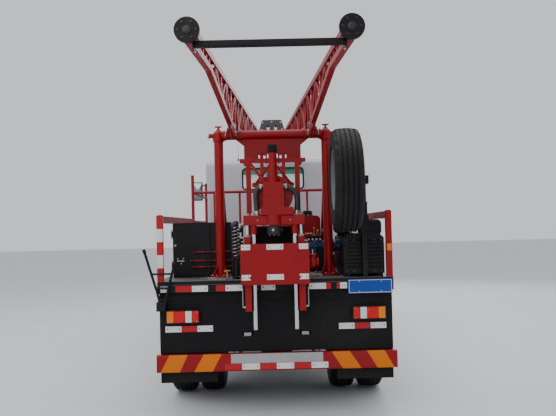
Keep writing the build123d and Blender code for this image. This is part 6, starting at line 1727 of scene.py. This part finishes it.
for row, count in enumerate((5, 4)):
    for k in range(count):
        x, z = 0.78 + (k - (count - 1) / 2) * 0.069, 1.4023 + row * 0.0591
        add_turned(rod_ends, (x, ahead(1.652), z), BACK, [(0, 0.0325), (0.003, 0.0325), (0.004, 0.027),
            (0.05, 0.019), (0.052, 0.012)], 20)
        add_turned(rod_ends, (x, ahead(4.648), z), FORWARD, [(0, 0.0325), (0.012, 0.0325), (0.012, 0.021),
            (0.004, 0.02)], 20)
place("tank_bands", tank_bands, bare_steel)
place("tank_caps", tank_caps, black_paint, bevel=0.001)
place("tank_bolts", tank_bolts, zinc)
place("tank_gauge", gauge, brass_fitting)
place("rod_ends", rod_ends, dark_steel)
JACK_X, JACK_Y = 1.02, ahead(4.72)
for side, sign in (("left", -1), ("right", 1)):
    gland, foot = new_meshes(2)
    add_turned(gland, (sign * JACK_X, JACK_Y, 0.518), UP, [(0, 0.04), (0, 0.06), (0.022, 0.06),
        (0.024, 0.053)], 28)
    add_bolt_ring(gland, (sign * JACK_X, JACK_Y, 0.54), UP, 0.0565, 8, 0.005, 0.005)
    for z in (0.6, 1.16):
        add_turned(gland, (sign * (JACK_X - 0.045), JACK_Y, z), (-sign, 0, 0), [(0, 0.016), (0.02, 0.016),
            (0.022, 0.012), (0.034, 0.012)], 6)
    add_bolt_ring(foot, (sign * JACK_X, JACK_Y, 0.512), UP, 0.085, 6, 0.008, 0.006)
    place(f"jack_gland_{side}", gland, black_paint)
    place(f"jack_foot_bolts_{side}", foot, zinc, f"jack_{side}")
guard_low, guard_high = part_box("guard_rails")
guard_bolts = bmesh.new()
for sign, x in ((-1, guard_low.x), (1, guard_high.x)):
    for k in range(7):
        add_bolt(guard_bolts, (x, ahead(0.16 + 0.47 * k), 1.94), (sign, 0, 0), 0.009, 0.006)
place("guard_bolts", guard_bolts, zinc)
tips = bmesh.new()
for x, top, lean in ((-1.3, 1.64, -115 / 390), (-1.000, 1.5, 110 / 440)):
    add_turned(tips, (x - lean * 0.03, ahead(-0.034), top - 0.03), (lean, 0, 1),
        [(0, 0.0135), (0, 0.017), (0.034, 0.017), (0.04, 0.012)], 16)
place("ladder_tips", tips, black_rubber)
print("fittings made")

# %% [markdown]
# ## Chassis, springs and drive line
# Seen from below and from the sides: plates that bolt the subframe to the rails, U-bolts that clamp each
# spring to its axle, the final drive's bolted cover, brake cans, and the two-piece shaft from the gearbox
# with its centre bearing. The shafts are turned tubes with forged flanges. They stand still here, as the
# model has no joint for them.

# %% Frame plates, U-bolts, cover, brake cans and shafts
plates, frame_bolts, clamps, cover, shafts, cans = new_meshes(6)
REAR_AXLE, FRONT_AXLE, AXLE_Z = 1.15, 6.24, 0.51
AXLE_Y = ahead(REAR_AXLE)
for sign in (-1, 1):
    for a in (0.75, 2.2, 3.9, 5.15):
        add_block(plates, (sign * 0.41, ahead(a), 0.9), (sign * 0.418, ahead(a + 0.14), 1.1))
        for z in (0.93, 0.965, 1.04, 1.075):
            for step in (0.03, 0.11):
                add_bolt(frame_bolts, (sign * 0.418, ahead(a + step), z), (sign, 0, 0), 0.01, 0.009)
    for a in (0.18, 1.98, 3.3, 4.6, 7.36):
        for z in (0.81, 0.865, 0.92):
            for step in (-0.022, 0.022):
                add_bolt(frame_bolts, (sign * 0.41, ahead(a + step), z), (sign, 0, 0), 0.008, 0.006)
    for axle, reach, low in ((REAR_AXLE, 0.078, 0.432), (FRONT_AXLE, 0.058, 0.366)):
        add_block(clamps, (sign * 0.398, ahead(axle - reach - 0.022), low), (sign * 0.492,
            ahead(axle + reach + 0.022), low + 0.013))
        for step in (-reach, reach):
            y = ahead(axle + step)
            add_pipe(clamps, [(sign * 0.406, y, low - 0.02), (sign * 0.406, y, 0.66),
                (sign * 0.416, y, 0.674), (sign * 0.474, y, 0.674), (sign * 0.484, y, 0.66),
                (sign * 0.484, y, low - 0.02)], 0.008, 10)
            for x in (0.406, 0.484):
                add_bolt(frame_bolts, (sign * x, y, low - 0.001), (0, 0, -1), 0.013, 0.012)
    can = Vector((sign * 0.3, ahead(REAR_AXLE + 0.14), AXLE_Z + 0.11))
    add_turned(cans, can, FORWARD, [(0, 0.03), (0.02, 0.07), (0.055, 0.078), (0.06, 0.086), (0.07, 0.086),
        (0.075, 0.078), (0.12, 0.07), (0.13, 0.04)], 28)
    add_bar(cans, (sign * 0.3, AXLE_Y, AXLE_Z + 0.06), can + Vector((0, 0.02, -0.02)), 0.022, 12)
add_turned(cover, (0, ahead(REAR_AXLE - 0.13), AXLE_Z), BACK, [(0, 0.135), (0.012, 0.135), (0.016, 0.118),
    (0.036, 0.105), (0.058, 0.07), (0.066, 0.03)], 36)
add_bolt_ring(frame_bolts, (0, ahead(REAR_AXLE - 0.142), AXLE_Z), BACK, 0.126, 12, 0.007, 0.006)
add_turned(cover, (0, ahead(REAR_AXLE + 0.13), AXLE_Z), (0, 1, 0.03), [(0, 0.12), (0.07, 0.085),
    (0.12, 0.066), (0.16, 0.066), (0.162, 0.05)], 32)
for start, end in (((0, ahead(1.445), 0.516), (0, ahead(3.255), 0.65)), ((0, ahead(3.345), 0.658),
        (0, ahead(4.899), 0.748))):
    along_shaft = Vector(end) - Vector(start)
    run = along_shaft.length
    add_turned(shafts, start, along_shaft, [(0, 0.052), (0.012, 0.052), (0.014, 0.03), (0.06, 0.03),
        (0.075, 0.038), (run - 0.075, 0.038), (run - 0.06, 0.03), (run - 0.014, 0.03), (run - 0.012, 0.05),
        (run, 0.05)], 28)
add_block(clamps, (-0.1, ahead(3.272), 0.585), (0.1, ahead(3.328), 0.781))
add_bar(shafts, (0, ahead(3.25), 0.65), (0, ahead(3.35), 0.658), 0.028, 20)
place("frame_plates", plates, black_paint, bevel=0.001)
place("frame_bolts", frame_bolts, zinc)
place("spring_clamps", clamps, black_paint, bevel=0.001)
place("drive_cover", cover, black_paint)
place("brake_cans", cans, grey_paint)
place("drive_shafts", shafts, grey_paint)
spare_nuts, spare_lips, spare_hole_shades = new_meshes(3)
SPARE = (0, ahead(-0.17), 2.283)
for sign, face in ((-1, 0.702), (1, 0.732)):
    # each hand hole of the spare gets a near-black plate of painted shade
    add_hand_holes(spare_lips, spare_hole_shades, SPARE, sign, 0.2, face)
    add_bolt_ring(spare_nuts, (face, SPARE[1], SPARE[2]), (sign, 0, 0), 0.125, 10, 0.012, 0.01)
place("spare_nuts", spare_nuts, zinc)
place("spare_lips", spare_lips, rim_paint)
place("spare_hole_shades", spare_hole_shades, painted_shade_and_stack_black)
side_fittings, head_fitting, beads, panel_bolts = new_meshes(4)
add_bar(side_fittings, (-0.29, DRILL_Y, 1.742), (-0.336, DRILL_Y - 0.004, 1.742), 0.011, 12)
add_turned(side_fittings, (-0.33, DRILL_Y - 0.004, 1.742), (0, -0.2, 1), [(0, 0.013), (0.018, 0.013),
    (0.02, 0.01), (0.05, 0.01)], 12)
add_bar(head_fitting, (-0.296, DRILL_Y, 1.872), (-0.342, DRILL_Y - 0.004, 1.872), 0.011, 12)
add_turned(head_fitting, (-0.336, DRILL_Y - 0.004, 1.876), (0, -0.2, -1), [(0, 0.013), (0.018, 0.013),
    (0.02, 0.01), (0.04, 0.01)], 12)
for sign in (-1, 1):
    for x in (0.578, 1.15):
        add_pipe(beads, [(sign * x, AXLE_Y + 0.601 * cos(t), AXLE_Z + 0.601 * sin(t))
            for t in (radians(10 + 10 * k) for k in range(17))], 0.006, 8)
    for x in (0.2, 0.52, 0.76, 1.12):
        for z in (0.64, 1.18):
            add_bolt(panel_bolts, (sign * x, PANEL_FACE, z), BACK, 0.008, 0.005)
place("barrel_port", side_fittings, zinc)
place("crosshead_port", head_fitting, zinc, "feed_carriage")
place("guard_beads", beads, black_plastic)
place("panel_bolts", panel_bolts, black_paint)
# Small bracket-shaped plates behind the two gaps of the rear panel; their pale grey is painted light for the
# bright ground seen through the gaps.
painted_light_plates = bmesh.new()
for sign in (-1, 1):
    add_block(painted_light_plates, (sign * 0.29 - 0.036, ahead(0.068), 0.757), (sign * 0.29 + 0.036, ahead(0.071),
        0.786))
    add_block(painted_light_plates, (sign * 0.29 - 0.03, ahead(0.06), 0.735), (sign * 0.29 + 0.03, ahead(0.068), 0.75))
    add_block(painted_light_plates, (sign * 0.29 - 0.03, ahead(0.068), 0.735), (sign * 0.29 + 0.03, ahead(0.071), 0.757))
place("painted_light_gap_plates", painted_light_plates, plate_grey, bevel=0.001)
print("chassis dressed")
